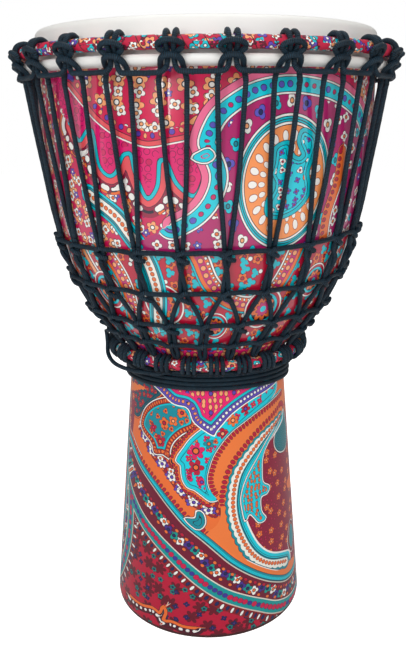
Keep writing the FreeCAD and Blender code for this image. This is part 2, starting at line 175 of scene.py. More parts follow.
def rope_tubes(name, points, diameter=ROPE, closed=False, sides=10, step=1.7, flatten=0.0):
    """Round ropes along paths. Each ring of points lies in the plane across the path; its radius
    rises and falls a little where the braid's strands cross: r (1 + 0.05 sin 4(a+k s) sin 4(a-k s))."""
    line, length = smooth_path(points, step, closed)
    if closed:
        tangent = np.roll(line, -1, 1) - np.roll(line, 1, 1)
    else:
        tangent = np.gradient(line, axis=1)
    tangent /= np.linalg.norm(tangent, axis=2, keepdims=True)
    outward = line * np.array([1, 1, 0.35])
    side = np.cross(tangent, outward)
    side /= np.linalg.norm(side, axis=2, keepdims=True)
    normal = np.cross(side, tangent)
    angle = np.linspace(0, 2 * math.pi, sides, endpoint=False)
    columns, rings = line.shape[:2]
    along = np.linspace(0, 1, rings)[None, :] * length[:, None]
    lay = 2 * math.pi / 15.0
    a = angle[None, None, :]
    s = along[:, :, None] * lay
    radius = diameter / 2 * (0.985 + 0.045 * np.sin(4 * (a + s)) * np.sin(4 * (a - s)))
    points = (
        line[:, :, None, :]
        + radius[..., None] * (np.cos(a)[..., None] * side[:, :, None, :]
                               + (1 - flatten) * np.sin(a)[..., None] * normal[:, :, None, :])
    )
    faces, ci, cj = (part[:, ::-1] for part in grid_faces(rings, sides, closed, True))
    ring_uv = np.stack([cj / sides, ci / rings], -1)
    all_faces = (faces[None] + (np.arange(columns) * rings * sides)[:, None, None]).reshape(-1, 4)
    uv = np.broadcast_to(ring_uv, (columns, *ring_uv.shape)).copy()
    uv[..., 1] *= length[:, None, None]
    flat = points.reshape(-1, 3)
    uv = uv.reshape(-1, 4, 2)
    if not closed:
        flat, all_faces, uv = cap_ends(flat, all_faces, uv, line, columns, rings, sides)
    piece = mesh_piece(name, flat, all_faces, uv)
    print(name, "rope", round(float(length.sum())) , "mm in", columns, "runs,", len(all_faces), "faces")
    return piece


def cap_ends(flat, faces, uv, line, columns, rings, sides):
    """Closes each tube's two ends with quads that run to the two middle points."""
    base = len(flat)
    flat = np.concatenate([flat, line[:, 0], line[:, -1]])
    k = np.arange(0, sides, 2)
    start = (np.arange(columns) * rings * sides)[:, None]
    first = np.stack([start + k, start + (k + 1) % sides, start + (k + 2) % sides,
                      np.broadcast_to(base + np.arange(columns)[:, None], (columns, len(k)))], -1)
    last = start + (rings - 1) * sides
    end = np.stack([last + (k + 2) % sides, last + (k + 1) % sides, last + k,
                    np.broadcast_to(base + columns + np.arange(columns)[:, None], (columns, len(k)))], -1)
    extra = np.concatenate([first.reshape(-1, 4), end.reshape(-1, 4)])
    return flat, np.concatenate([faces, extra]), np.concatenate([uv, np.zeros((len(extra), 4, 2))])


def at(angle, offset, radius, z):
    """Points at an angle from the front, moved sideways by an offset, at a radius and height. All
    four may be arrays."""
    angle, offset, radius, z = np.broadcast_arrays(*(np.asarray(v, float) for v in (angle, offset, radius,
                                                                                    z)))
    x = radius * np.sin(angle) + offset * np.cos(angle)
    y = -radius * np.cos(angle) + offset * np.sin(angle)
    return np.stack([x, y, z], -1)


def wander(shape, size):
    """Small steady offsets in mm, so that no two knots are quite alike."""
    return RNG.uniform(-size, size, shape)


TOP = FIRST_TOP + PITCH * np.arange(COUNT)
BOTTOM = FIRST_BOTTOM + PITCH * np.arange(COUNT)

# %% [markdown]
# ## Shader sums as plain expressions
# A node tree is easier to read as arithmetic. `Val` wraps one output socket, and each operator adds
# the Math node that does it. `Ink` holds the tree and a colour that is painted over, layer by layer.


# %% The expression helpers
class Val:
    """One number in a node tree."""

    def __init__(self, ink, socket):
        self.ink, self.socket = ink, socket

    def __add__(self, other):
        return self.ink.math("ADD", self, other)

    def __sub__(self, other):
        return self.ink.math("SUBTRACT", self, other)

    def __rsub__(self, other):
        return self.ink.math("SUBTRACT", other, self)

    def __mul__(self, other):
        return self.ink.math("MULTIPLY", self, other)

    def __truediv__(self, other):
        return self.ink.math("DIVIDE", self, other)

    def __lt__(self, other):
        return self.ink.math("LESS_THAN", self, other)

    def __gt__(self, other):
        return self.ink.math("GREATER_THAN", self, other)

    def __abs__(self):
        return self.ink.math("ABSOLUTE", self)

    __radd__, __rmul__ = __add__, __mul__


class Ink:
    """A material's tree, with a colour that masks paint over."""

    def __init__(self, name):
        self.material = bpy.data.materials.new(name)
        self.material.use_nodes = True
        self.tree = self.material.node_tree
        self.shader = self.tree.nodes["Principled BSDF"]
        self.colour = None

    def node(self, kind, settings=None, **inputs):
        """Adds a node, sets its settings first and then its inputs by socket name or number."""
        made = self.tree.nodes.new("ShaderNode" + kind)
        for key, value in (settings or {}).items():
            setattr(made, key, value)
        for key, value in inputs.items():
            socket = made.inputs[int(key[1:])] if key[0] == "_" else made.inputs[key.replace("_", " ")]
            self.feed(socket, value)
        return made

    def feed(self, socket, value):
        """Links a value to a socket, or sets the socket's own number or colour."""
        if isinstance(value, Val):
            value = value.socket
        if isinstance(value, bpy.types.NodeSocket):
            self.tree.links.new(value, socket)
        else:
            socket.default_value = value

    def math(self, operation, a, b=None, c=None):
        made = self.tree.nodes.new("ShaderNodeMath")
        made.operation = operation
        for socket, value in zip(made.inputs, (a, b, c)):
            if value is not None:
                self.feed(socket, value)
        return Val(self, made.outputs[0])

    def field(self, name):
        """A number stored on the mesh's vertices."""
        return Val(self, self.node("Attribute", {"attribute_name": name}).outputs["Fac"])

    def band(self, value, low, high):
        """1 where low < value < high."""
        return self.math("COMPARE", value, (low + high) / 2, (high - low) / 2)

    def cell(self, value, period):
        """Distance from the nearest multiple of the period."""
        return self.math("PINGPONG", value, period / 2)

    def length(self, a, b):
        both = self.node("CombineXYZ", None, _0=a, _1=b)
        return Val(self, self.node("VectorMath", {"operation": "LENGTH"},
                                   _0=both.outputs[0]).outputs["Value"])

    def paint(self, mask, colour):
        """Lays a colour over what is there, where the mask is 1."""
        mix = self.tree.nodes.new("ShaderNodeMix")
        mix.data_type = "RGBA"
        self.feed(mix.inputs[0], mask)
        self.feed(mix.inputs[6], self.colour)
        self.feed(mix.inputs[7], colour)
        self.colour = mix.outputs[2]

    def start(self, colour):
        """The ground colour that later coats are laid over."""
        self.colour = colour

    def finish(self, roughness, **settings):
        self.feed(self.shader.inputs["Base Color"], self.colour)
        self.feed(self.shader.inputs["Roughness"], roughness)
        for key, value in settings.items():
            self.feed(self.shader.inputs[key.replace("_", " ")], value)
        return self.material

    def bump(self, height, strength, distance):
        bump = self.node("Bump", None, Height=height, Strength=strength, Distance=distance)
        self.feed(self.shader.inputs["Normal"], bump.outputs[0])


def ink(red, green, blue):
    """A printed colour given as display values from 0 to 255, turned to linear light."""
    linear = [((v / 255 + 0.055) / 1.055) ** 2.4 if v > 10 else v / 255 / 12.92 for v in (red, green, blue)]
    return (*linear, 1.0)


PINK, MAGENTA, CRIMSON, MAROON = ink(222, 22, 96), ink(196, 28, 112), ink(186, 10, 52), ink(104, 8, 34)
CYAN, TEAL, DEEP_TEAL = ink(0, 190, 205), ink(0, 140, 155), ink(0, 84, 100)
ORANGE, PEACH, SALMON = ink(238, 112, 48), ink(250, 166, 112), ink(234, 84, 92)
WHITE, VIOLET, LINE = ink(246, 242, 236), ink(98, 66, 178), ink(22, 16, 44)

# %% [markdown]
# ## Camera, light and floor
# The camera stands a little below the head and looks down the drum, so the stem is seen from above
# and the head from its edge. Broad lamps give the long soft streaks that a varnished bowl shows.

# %% The studio
CAMERA_FROM, CAMERA_UP, CAMERA_DOWN, CAMERA_ROLL = 0.7755, 0.540, 16.07, 0.35
camera_data = bpy.data.cameras.new("camera")
camera_data.sensor_width = 36.0
camera_data.lens = 41.2
camera = bpy.data.objects.new("camera", camera_data)
camera.location = (-0.0031, -CAMERA_FROM, CAMERA_UP)
camera.rotation_euler = (math.radians(90 - CAMERA_DOWN), math.radians(CAMERA_ROLL), 0)
bpy.context.scene.collection.objects.link(camera)
bpy.context.scene.camera = camera
bpy.context.scene.view_settings.view_transform = "Standard"


def lamp(name, place, aim, size, power, tint=(1, 1, 1)):
    """An area lamp at a place, turned to face a point."""
    light = bpy.data.lights.new(name, "AREA")
    light.shape, light.size, light.size_y = "RECTANGLE", size[0], size[1]
    light.energy, light.color = power, tint
    holder = bpy.data.objects.new(name, light)
    holder.location = place
    direction = np.array(aim) - np.array(place)
    yaw = math.atan2(direction[1], direction[0]) - math.pi / 2
    pitch = math.atan2(direction[2], math.hypot(direction[0], direction[1]))
    holder.rotation_euler = (math.pi / 2 + pitch, 0, yaw)
    bpy.context.scene.collection.objects.link(holder)


lamp("window", (-0.62, -1.3, 0.95), (0, 0, 0.42), (0.22, 1.1), 7)
lamp("front", (0.35, -1.9, 1.45), (0, 0, 0.35), (1.6, 0.9), 17)
lamp("right", (1.7, -0.6, 0.9), (0, 0, 0.35), (0.8, 1.4), 3)
lamp("left", (-1.7, -0.3, 0.8), (0, 0, 0.35), (0.8, 1.4), 2.5)
lamp("top", (0.1, 0.4, 2.2), (0, 0, 0.6), (1.6, 1.6), 16)

world = bpy.data.worlds.new("studio")
bpy.context.scene.world = world
world.use_nodes = True
backdrop = world.node_tree.nodes["Background"]
backdrop.inputs["Color"].default_value = (1, 1, 1, 1)
seen = world.node_tree.nodes.new("ShaderNodeLightPath")
strength = world.node_tree.nodes.new("ShaderNodeMapRange")
strength.inputs["To Min"].default_value = 0.2
strength.inputs["To Max"].default_value = 1.0
world.node_tree.links.new(seen.outputs["Is Camera Ray"], strength.inputs["Value"])
world.node_tree.links.new(strength.outputs["Result"], backdrop.inputs["Strength"])

floor_mesh = bpy.data.meshes.new("floor")
floor_mesh.from_pydata([(-6, -6, 0), (6, -6, 0), (6, 6, 0), (-6, 6, 0)], [], [(0, 1, 2, 3)])
floor = bpy.data.objects.new("floor", floor_mesh)
bpy.context.scene.collection.objects.link(floor)
floor_ink = Ink("pale_floor")
floor_ink.start((0.1, 0.1, 0.1, 1))
floor_ink.paint(floor_ink.node("LightPath").outputs["Is Camera Ray"], (0.95, 0.95, 0.95, 1))
glow = floor_ink.colour
floor_ink.start((0.85, 0.85, 0.85, 1))
floor.data.materials.append(floor_ink.finish(0.9, Emission_Color=glow, Emission_Strength=0.9))

# %% [markdown]
# ## The slack stretch of rope
# Between the last woven row and the belt one stretch of the tail hangs slack. It is the only rope
# that nothing holds on the way, so it is a free cord with a measured length.

# %% The slack tail
DROP = [(-106.4, -22.6, 319.0), (-105.0, -23.6, 306.5), (-105.2, -31.6, 296.0), (-98.2, -45.8, 290.0),
        (-86.0, -58.5, 288.4), (-72.0, -69.0, 288.2), (-57.0, -76.5, 289.0)]


def nurbs_line(points):
    """The points that a smooth NURBS curve through the route's control points passes (mm)."""
    curve = bpy.data.curves.new("route", "CURVE")
    curve.dimensions = "3D"
    curve.resolution_u = 16
    spline = curve.splines.new("NURBS")
    spline.points.add(len(points) - 1)
    for knot, spot in zip(spline.points, points):
        knot.co = (*spot, 1)
    spline.order_u = 3
    spline.use_endpoint_u = True
    holder = bpy.data.objects.new("route", curve)
    line = bpy.data.meshes.new_from_object(holder)
    out = np.array([v.co for v in line.vertices])
    bpy.data.objects.remove(holder)
    bpy.data.meshes.remove(line)
    return out


drop_line = nurbs_line(DROP)
tail_drop = rope_tubes("slack_tail", np.concatenate([drop_line[:-1:4], drop_line[-1:]])[None])
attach(tail_drop, "drum")
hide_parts("tail_rope_drop")

# %% [markdown]
# ## The head
# The skin lies flat over the mouth, turns round the bearing edge, and is turned up round the flesh
# ring at its hem. One closed outline of the skin's two faces is turned round the axis. Between the
# hitches the hem is free to bulge a little, so the outline ripples once per column.


# %% The skin and its hem
def arc_rows(centre, radius, start, end, count):
    """Rows (r, z) along an arc: centre + radius (cos t, sin t), t in degrees."""
    t = np.radians(np.linspace(start, end, count))
    return np.stack([centre[0] + radius * np.cos(t), centre[1] + radius * np.sin(t)], 1)


RIM, RIM_TOP, RIM_ROUND = 162.4, 611.0, 5.0
FLESH = (171.0, 578.5)
HOOK_IN, HOOK_OUT = 4.3, 5.35
edge_centre = (RIM - RIM_ROUND, RIM_TOP - RIM_ROUND)
skirt_in = np.linspace((RIM + 0.1, edge_centre[1]), (FLESH[0] - HOOK_OUT, FLESH[1]), 14)[1:-1]
skirt_out = np.linspace((FLESH[0] - HOOK_IN, FLESH[1]), (RIM + 1.1, edge_centre[1]), 14)[1:-1]
top_in = np.linspace((0.4, RIM_TOP + 0.1), (edge_centre[0], RIM_TOP + 0.1), 12)[:-1]
top_out = np.linspace((edge_centre[0], RIM_TOP + 1.1), (0.4, RIM_TOP + 1.1), 26)[1:]
head_profile = np.concatenate([
    top_in,
    arc_rows(edge_centre, RIM_ROUND + 0.1, 90, 0, 8),
    skirt_in,
    arc_rows(FLESH, HOOK_OUT, 180, 405, 22),
    arc_rows(FLESH, HOOK_IN, 405, 180, 22),
    skirt_out,
    arc_rows(edge_centre, RIM_ROUND + 1.1, 0, 90, 10),
    top_out,
])


def hem_ripple(a, z):
    """Outward bulge of the hem between the columns, fading out below the bearing edge."""
    low = np.clip((600.0 - z) / 14.0, 0, 1)
    return 0.22 * low * np.cos((a - FIRST_TOP + PITCH / 2) * COUNT)


head = turned("drum_skin", head_profile, 360, 160.0, ripple=hem_ripple)
head_ink = Ink("white_skin")
head_ink.start(ink(244, 243, 240))
grain = head_ink.node("TexNoise", None, Vector=head_ink.node("TexCoord").outputs["Object"], Scale=28.0,
                      Detail=6.0)
cloudy = head_ink.node("TexNoise", None, Vector=head_ink.node("TexCoord").outputs["Object"], Scale=9.0,
                       Detail=3.0)
head_ink.paint(Val(head_ink, cloudy.outputs[0]) * 0.35, ink(228, 224, 214))
head_ink.bump(grain.outputs[0], 0.25, 0.0006)
head.data.materials.append(head_ink.finish(Val(head_ink, grain.outputs[0]) * 0.25 + 0.3))
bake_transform(head, "drum", "crown", start=(0, 0, 0.605), end=(0, 0, 0.585))
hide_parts("drum_head")

# %% [markdown]
# ## Braided rope
# The rope's jacket is plaited from sixteen strands, eight each way. Two sets of helices cross on
# its surface: where one strand lies over another it stands up, and its top is painted lighter as a
# highlight.


# %% The rope's finish
def rope_finish():
    """Dark jacket with painted highlights on the strand tops: height = sin 8(a+ks) sin 8(a-ks) over the
    rope's UV.
    """
    rope = Ink("braided_rope")
    uv = rope.node("UVMap", {"uv_map": "cloth"}).outputs[0]
    split = rope.node("SeparateXYZ", None, _0=uv)
    around, along = Val(rope, split.outputs[0]), Val(rope, split.outputs[1])
    one = rope.math("SINE", (around * 8 + along * 0.42) * (2 * math.pi))
    other = rope.math("SINE", (around * 8 - along * 0.42) * (2 * math.pi))
    plait = one * other
    rope.start(ink(1, 7, 15))
    # painted highlight: the strand tops are coloured lighter where the plait stands up, in two steps
    rope.paint(plait > 0.12, ink(8, 36, 54))
    rope.paint(plait > 0.6, ink(44, 92, 116))
    patchy = rope.node("TexNoise", None, Vector=rope.node("TexCoord").outputs["Object"], Scale=60.0,
                       Detail=4.0)
    rope.paint((Val(rope, patchy.outputs[0]) - 0.42) * 1.6, ink(3, 14, 26))
    rope.bump(plait.socket, 0.55, 0.0004)
    return rope.finish(Val(rope, patchy.outputs[0]) * 0.2 + 0.42, Specular_IOR_Level=0.3)


ROPE_FINISH = rope_finish()


def finish_rope(piece, body, *nodes):
    """Gives a rope its finish and its body, and hides the solids that it stands for."""
    piece.data.materials.append(ROPE_FINISH)
    if body is not None:
        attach(piece, body)
    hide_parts(*nodes)


tail_drop.data.materials.append(ROPE_FINISH)

# %% [markdown]
# ## Hitches on the crown ring
# At each column the cradle rope goes up over the ring, down behind it, and back, with a bar drawn
# across the front. Below the bar its two legs part and run level to the next column.

# %% Crown hitches
CROWN, RING_CLOTH = (176.0, 590.5), 5.5
over_ring = RING_CLOTH + ROPE / 2 + 0.25


def strand_over(columns, offset, ring, start, end, tail, spread=0.0):
    """Control points of a strand round a ring: an arc in the ring's section, spread sideways in
    its middle, and then a few points of tail."""
    t = np.radians(np.linspace(start, end, 9))
    side = offset + np.sign(offset) * spread * np.sin(np.linspace(0, math.pi, 9))
    rows = [(s, ring[0] + over_ring * math.cos(v), ring[1] + over_ring * math.sin(v)) for s,
            v in zip(side, t)]
    rows += tail
    rows = np.array(rows)
    points = at(columns[:, None], rows[None, :, 0], rows[None, :, 1], rows[None, :, 2])
    return points + wander((len(columns), 1, 3), 0.25)


hitch_parts = []
for sign in (-1, 1):
    tail = [(sign * 2.5, 180.6, 583.0), (sign * 2.6, 179.7, 577.5), (sign * 3.2, 179.6, 573.0)]
    hitch_parts.append(strand_over(TOP, sign * 2.6, CROWN, 195, -42, tail, spread=1.2))
hitch_strands = rope_tubes("crown_hitch_strands", np.concatenate(hitch_parts), step=1.4)
finish_rope(hitch_strands, "crown", "crown_hitches")

bar_front = CROWN[0] + over_ring + ROPE * 0.86
bar_rows = np.array([
    (-1.2, 179.0, 581.0), (-5.2, 181.6, 582.6), (-9.4, 183.2, 585.6),
    (-9.0, bar_front - 3.0, CROWN[1] - 2.2),
    (-4.8, bar_front - 0.4, CROWN[1] - 0.2), (0, bar_front, CROWN[1] + 0.4),
    (4.8, bar_front - 0.4, CROWN[1] - 0.2),
    (9.0, bar_front - 3.0, CROWN[1] - 2.2), (9.4, 183.2, 585.6), (5.2, 181.6, 582.6), (1.2, 179.0, 581.0),
])
bar_points = at(TOP[:, None], bar_rows[None, :, 0], bar_rows[None, :, 1], bar_rows[None, :, 2])
hitch_bars = rope_tubes("crown_hitch_bars", bar_points + wander((COUNT, 1, 3), 0.4), step=1.4)
finish_rope(hitch_bars, "crown", "crown_hitches")

# %% The cradle rope between the hitches
cradle_rows = [(0.0, 3.2, 179.7, 573.4), (0.0, 5.4, 180.6, 570.2), (0.0, 9.0, 180.6, 568.9),
               (0.5, 0.0, 179.4, 568.6),
               (1.0, -9.0, 180.6, 568.9), (1.0, -5.4, 180.6, 570.2), (1.0, -3.2, 179.7, 573.4)]
cradle_rows = np.array(cradle_rows)
cradle_points = at(TOP[:, None] + PITCH * cradle_rows[None, :, 0], cradle_rows[None, :, 1],
                   cradle_rows[None, :, 2], cradle_rows[None, :, 3])
cradle_points[:, 2:5] += wander((COUNT, 1, 3), 0.6)
cradle = rope_tubes("cradle_runs", cradle_points)
finish_rope(cradle, "crown", "crown_cradle_rope")

# %% [markdown]
# ## The tension rope
# It comes up, bends over the cradle rope in front of the legs, and goes down again. The 48 runs
# stand off the bowl at the top and close up in pairs by the first woven row.

# %% Bights over the cradle rope
bight_rows = np.array([
    (-11.2, 174.1, 562.0), (-10.2, 174.6, 567.5), (-9.0, 175.6, 572.0), (-8.0, 180.4, 577.0),
    (-5.2, 184.4, 579.8),
    (0, 185.2, 580.6), (5.2, 184.4, 579.8), (8.0, 180.4, 577.0), (9.0, 175.6, 572.0), (10.2, 174.6, 567.5),
    (11.2, 174.1, 562.0),
])
bight_points = at(TOP[:, None], bight_rows[None, :, 0], bight_rows[None, :, 1], bight_rows[None, :, 2])
bights = rope_tubes("rope_bights", bight_points, diameter=ROPE * 1.08, step=1.4)
finish_rope(bights, "crown", "tension_rope_bights")

# %% Straight runs down to the first woven row
ROW_1, ROW_2, ROW_3, ROW_4 = 424.0, 385.0, 351.0, 328.0
LOOP_LOW = 316.0


def on_cloth(z, lift=0.0):
    """Radius of a rope's middle that lies on the bowl's cloth, lifted by a few mm."""
    return shell_radius(z) + CLOTH + ROPE / 2 + 0.15 + lift


run_rows = np.array([(11.2, 0, 563.0), (9.6, 0, 524.0), (7.6, 0.25, 484.0), (4.6, 0.3, 452.0),
                     (2.35, 0.3, ROW_1 + 3)])
run_radius = np.array([174.2, 168.6, on_cloth(484.0), on_cloth(452.0), on_cloth(ROW_1 + 3, 0.2)])
runs = np.concatenate([
    at(TOP[:, None], sign * run_rows[None, :, 0], run_radius[None, :],
       run_rows[None, :, 2]) for sign in (-1, 1)
])
upper = rope_tubes("upper_runs", runs, step=2.2)
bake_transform(upper, "drum", "crown", start=(0, 0, 0.432), end=(0, 0, 0.560))
finish_rope(upper, None, "tension_rope_upper")

# %% Crossed pairs, diamonds and lower bends
turn_down = FIRST_BOTTOM - FIRST_TOP + PITCH / 2


def lower_rows(side):
    """One strand from the first row down: (column share, offset, lift, height). side is -1 for the
    strand that starts left of its pair and crosses over in front, and 1 for the one behind."""
    lift = 4.2 if side < 0 else 0.2
    return [
        (0.0, side * 2.4, 0.2, ROW_1 + 3), (0.0, side * 2.0, 0.8, ROW_1 - 8),
        (0.0, 0.0, lift, (ROW_1 + ROW_2) / 2 + 3),
        (0.0, -side * 2.2, 0.8, ROW_2 + 8), (0.0, -side * 2.6, 0.2, ROW_2 - 1),
        (-side * 0.25, -side * 1.0, 0.2, (ROW_2 + ROW_3) / 2),
        (-side * 0.5, side * 2.6, 0.3, ROW_3 + 3), (-side * 0.5, side * 2.4, 0.2, ROW_3 - 5),
    ]


def lower_points(side):
    rows = np.array(lower_rows(side))
    angle = TOP[:, None] + PITCH * rows[None, :, 0]
    return at(angle, rows[None, :, 1], on_cloth(rows[:, 3], rows[:, 2])[None, :], rows[None, :, 3])


bend_rows = np.array([
    (-2.5, 0.4, ROW_4 - 3), (-2.6, 1.0, LOOP_LOW + 2), (-1.9, 2.2, LOOP_LOW - 3.6),
    (0, 2.9, LOOP_LOW - 5.4),
    (1.9, 2.2, LOOP_LOW - 3.6), (2.6, 1.0, LOOP_LOW + 2), (2.5, 0.4, ROW_4 - 3),
])
bend_at = TOP[:, None] + turn_down
bends = at(bend_at, bend_rows[None, :, 0], on_cloth(bend_rows[:, 2], bend_rows[:, 1])[None, :],
           bend_rows[None, :, 2])
down = lower_points(-1)                      # leaves its column towards +0.5 pitch
up = np.roll(lower_points(1), -1, axis=0)    # the next column's strand, which comes back -0.5 pitch
lower = rope_tubes("lower_runs", np.concatenate([down, bends, up[:, ::-1]], 1))
finish_rope(lower, "drum", "tension_rope_lower")

# %% [markdown]
# ## The woven rows
# The tail goes round and round through the runs. It rides up over each pair and sinks back to the
# cloth between them, and it climbs a little across each pair, so the rows look like a slow wave.


# %% Four rows
def woven_row(number, level, shift, tilt, lean):
    """A closed rope: over each pair it stands one rope further out, and it leans across it."""
    columns = FIRST_TOP + shift + PITCH * np.arange(COUNT)
    shares = np.array([(-3.6, 0.55, -0.3), (-1.8, 1.0, -0.8), (1.8, 1.0, 0.8), (3.6, 0.55, 0.3),
                       (0, 0.05, 0.0)])
    angle = columns[:, None] + np.array([0, 0, 0, 0, PITCH / 2])[None, :]
    offset = shares[None, :, 0] * 1.5
    z = level + tilt * np.sin(angle) + lean * shares[None, :, 2] + wander((COUNT, 1), 0.9)
    points = at(angle, offset, on_cloth(z, 0.0) + ROPE * shares[None, :, 1], z)
    row = rope_tubes(f"woven_row_{number}", points.reshape(1, -1, 3), closed=True)
    finish_rope(row, "drum", f"weave_rope_row_{number}")


woven_row(1, ROW_1, 0.0, 4.5, 1.6)
woven_row(2, ROW_2, 0.0, 2.5, 2.2)
woven_row(3, ROW_3, PITCH / 2, 2.0, 2.2)
woven_row(4, ROW_4, turn_down * 0.9, 1.5, 1.6)


def wraps(name, node, level, shift, tilt, slant):
    """A short turn of the tail round each pair, drawn tight: a slanted half circle in front."""
    columns = FIRST_TOP + shift + PITCH * np.arange(COUNT)
    t = np.linspace(-1, 1, 7)
    z = level + tilt * np.sin(columns)[:, None] + slant * t[None, :] + wander((COUNT, 1), 0.8)
    lift = ROPE * (1.04 - 0.9 * np.abs(t) ** 3)
    points = at(columns[:, None], 6.4 * t[None, :], on_cloth(z) + lift[None, :], z)
    finish_rope(rope_tubes(name, points), "drum", node)


wraps("wraps_row_1", "weave_rope_row_1", ROW_1 - 4.6, 0.0, 4.5, -3.0)
wraps("wraps_row_2", "weave_rope_row_2", ROW_2 - 4.4, 0.0, 2.5, -3.4)
wraps("wraps_row_3", "weave_rope_row_3", ROW_3 - 4.2, PITCH / 2, 2.0, -3.4)

# %% Hitches on the bottom ring
LOW_RING = (97.5, 303.0)
low_parts = [strand_over(BOTTOM, side, LOW_RING, 100, -160, [], spread=0.9) for side in (-4.9, 0.0, 4.9)]
low_hitches = rope_tubes("bottom_hitch_strands", np.concatenate(low_parts), step=1.5)
finish_rope(low_hitches, "drum", "bottom_hitches")

# %% The belt round the waist
BELT_TURNS, BELT_RADIUS, BELT_LEVEL, BELT_TILT = 5, 86.9, 277.5, math.radians(5.0)
BELT_START = math.radians(172)


def tilt_belt(points):
    """Turns points about the X axis by the belt's tilt, and lifts them to its level."""
    out = points.copy()
    out[:, 1] = points[:, 1] * math.cos(BELT_TILT) + points[:, 2] * math.sin(BELT_TILT) + 0.7
    out[:, 2] = -points[:, 1] * math.sin(BELT_TILT) + points[:, 2] * math.cos(BELT_TILT) + BELT_LEVEL
    return out


share = np.arange(2, BELT_TURNS * 24 + 1) / 24
turn = BELT_START + 2 * math.pi * share
sag = np.interp(share % 1, [0, 0.25, 0.5, 0.75, 1], [0, 0.5, -0.4, 0.3, 0])
belt = at(turn, 0, BELT_RADIUS + 0.5 * np.sin(3 * turn + share),
          (BELT_TURNS / 2 - share) * (ROPE + 0.05) + sag)
over_turn = np.radians(np.linspace(-22, 150, 12))
groove = 8.2 - ROPE * (over_turn + math.radians(22)) / (2 * math.pi)
over = at(over_turn, 0, np.linspace(92.2, 90.9, 12), groove)
crossing = at(math.radians(178), 0, 91.2, 9.4)[None]
belt = tilt_belt(np.concatenate([over, crossing, belt]))
belt = np.concatenate([[DROP[-1], (-48.0, -80.3, 289.6)], belt])
belt_rope = rope_tubes("waist_belt", belt[None])
finish_rope(belt_rope, "drum", "waist_belt_rope")

# %% [markdown]
# ## The printed cloth
# The print is drawn with distances. Each guide curve below lies on the unrolled cloth (mm round the
# drum, mm above the floor), and for every point of the cloth numpy finds how far the curve is and
# how far along it the nearest spot lies. The shader then turns ranges of those two numbers into
# bands, beads, teeth and petals, so every edge is sharp at any size.


# %% Guide curves as distance fields
def signed_fields(u, z, curve, period, closed=False):
    """Distance from a smoothed curve and length along it, for points (u, z). The distance counts
    positive on the curve's left, or inside it if it is closed. Copies a period away count too."""
    line, _ = smooth_path(np.array([[(p[0], p[1], 0) for p in curve]], float), 4.0, closed)
    line = line[0, :, :2].astype(np.float32)
    if closed:
        line = np.concatenate([line, line[:1]])
    middle = line[:, 0].mean()
    u = (u - middle + period / 2) % period - period / 2 + middle
    step = np.diff(line, axis=0)
    size = np.linalg.norm(step, axis=1)
    travelled = np.concatenate([[0], np.cumsum(size)])[:-1]
    best = np.full(u.shape, 1e9)
    distance, along = np.zeros(u.shape), np.zeros(u.shape)
    pick = np.arange(len(u))
    for shift in (-1, 0, 1):
        dx = (u - shift * period).astype(np.float32)[:, None] - line[None, :-1, 0]
        dz = z.astype(np.float32)[:, None] - line[None, :-1, 1]
        t = np.clip((dx * step[:, 0] + dz * step[:, 1]) / size**2, 0, 1)
        away = np.hypot(dx - t * step[:, 0], dz - t * step[:, 1])
        k = np.argmin(away, 1)
        near = away[pick, k]
        side = np.sign(step[k, 0] * dz[pick, k] - step[k, 1] * dx[pick, k])
        if closed:
            straddles = (dz > 0) != (dz - step[:, 1] > 0)
            left_of = dx * step[:, 1] < dz * step[:, 0]
            crossings = (straddles & (left_of == (step[:, 1] > 0))).sum(1)
            side = np.where(crossings % 2 == 1, 1.0, -1.0)
        closer = near < best
        best = np.where(closer, near, best)
        distance = np.where(closer, side * near, distance)
        along = np.where(closer, travelled[k] + t[pick, k] * size[k], along)
    return distance, along


class Print:
    """Works out fields on one cloth band and stores them on its points for the shader."""

    def __init__(self, piece, rows, segments, heights, spread):
        self.piece, self.rows, self.segments, self.heights = piece, rows, segments, heights
        self.period = math.pi * spread
        half = np.linspace(-math.pi, 0, segments // 2, endpoint=False) * spread
        u, z = np.meshgrid(half, heights)
        self.u, self.z = u.ravel(), z.ravel()

    def store(self, name, values):
        """Repeats half a turn's numbers for the other half, and gives the inner face zeros."""
        grid = np.tile(values.reshape(len(self.heights), -1), (1, 2))
        full = np.zeros((self.rows, self.segments))
        full[: len(self.heights)] = grid
        layer = self.piece.data.attributes.new(name, "FLOAT", "POINT")
        layer.data.foreach_set("value", full.astype(np.float32).ravel())

    def guide(self, name, curve, closed=False):
        """Stores a curve's signed distance, plain distance and length along. The plain distance tells
        the curve itself from the far places where the sign flips between two of its copies."""
        distance, along = signed_fields(self.u, self.z, curve, self.period, closed)
        self.store(name + "_d", distance)
        self.store(name + "_n", np.abs(distance))
        self.store(name + "_s", along)


# %% The cloth bands
def cloth_profile(low, high, rows):
    """A thin closed band's outline: up the outer face and down the inner face."""
    outer = np.linspace(low, high, rows)
    inner = np.linspace(high, low, 24)
    return np.concatenate([np.stack([shell_radius(outer) + CLOTH, outer], 1),
                           np.stack([shell_radius(inner) + 0.1, inner], 1)])


def cloth_band(name, low, high, rows, segments, spread):
    """One band of cloth with its print's field store."""
    profile = cloth_profile(low, high, rows)
    piece = turned(name, profile, segments, spread)
    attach(piece, "drum")
    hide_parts(name)
    return piece, Print(piece, len(profile), segments, np.linspace(low, high, rows), spread)


SEAM, STEM_SPREAD, BOWL_SPREAD = 320.0, 90.0, 150.0
stem_cloth, stem_print = cloth_band("stem_cloth", 3.0, SEAM - 0.3, 160, 320, STEM_SPREAD)
bowl_cloth, bowl_print = cloth_band("bowl_cloth", SEAM + 0.2, 590.0, 128, 448, BOWL_SPREAD)
print("cloth faces", len(bowl_cloth.data.polygons), len(stem_cloth.data.polygons))

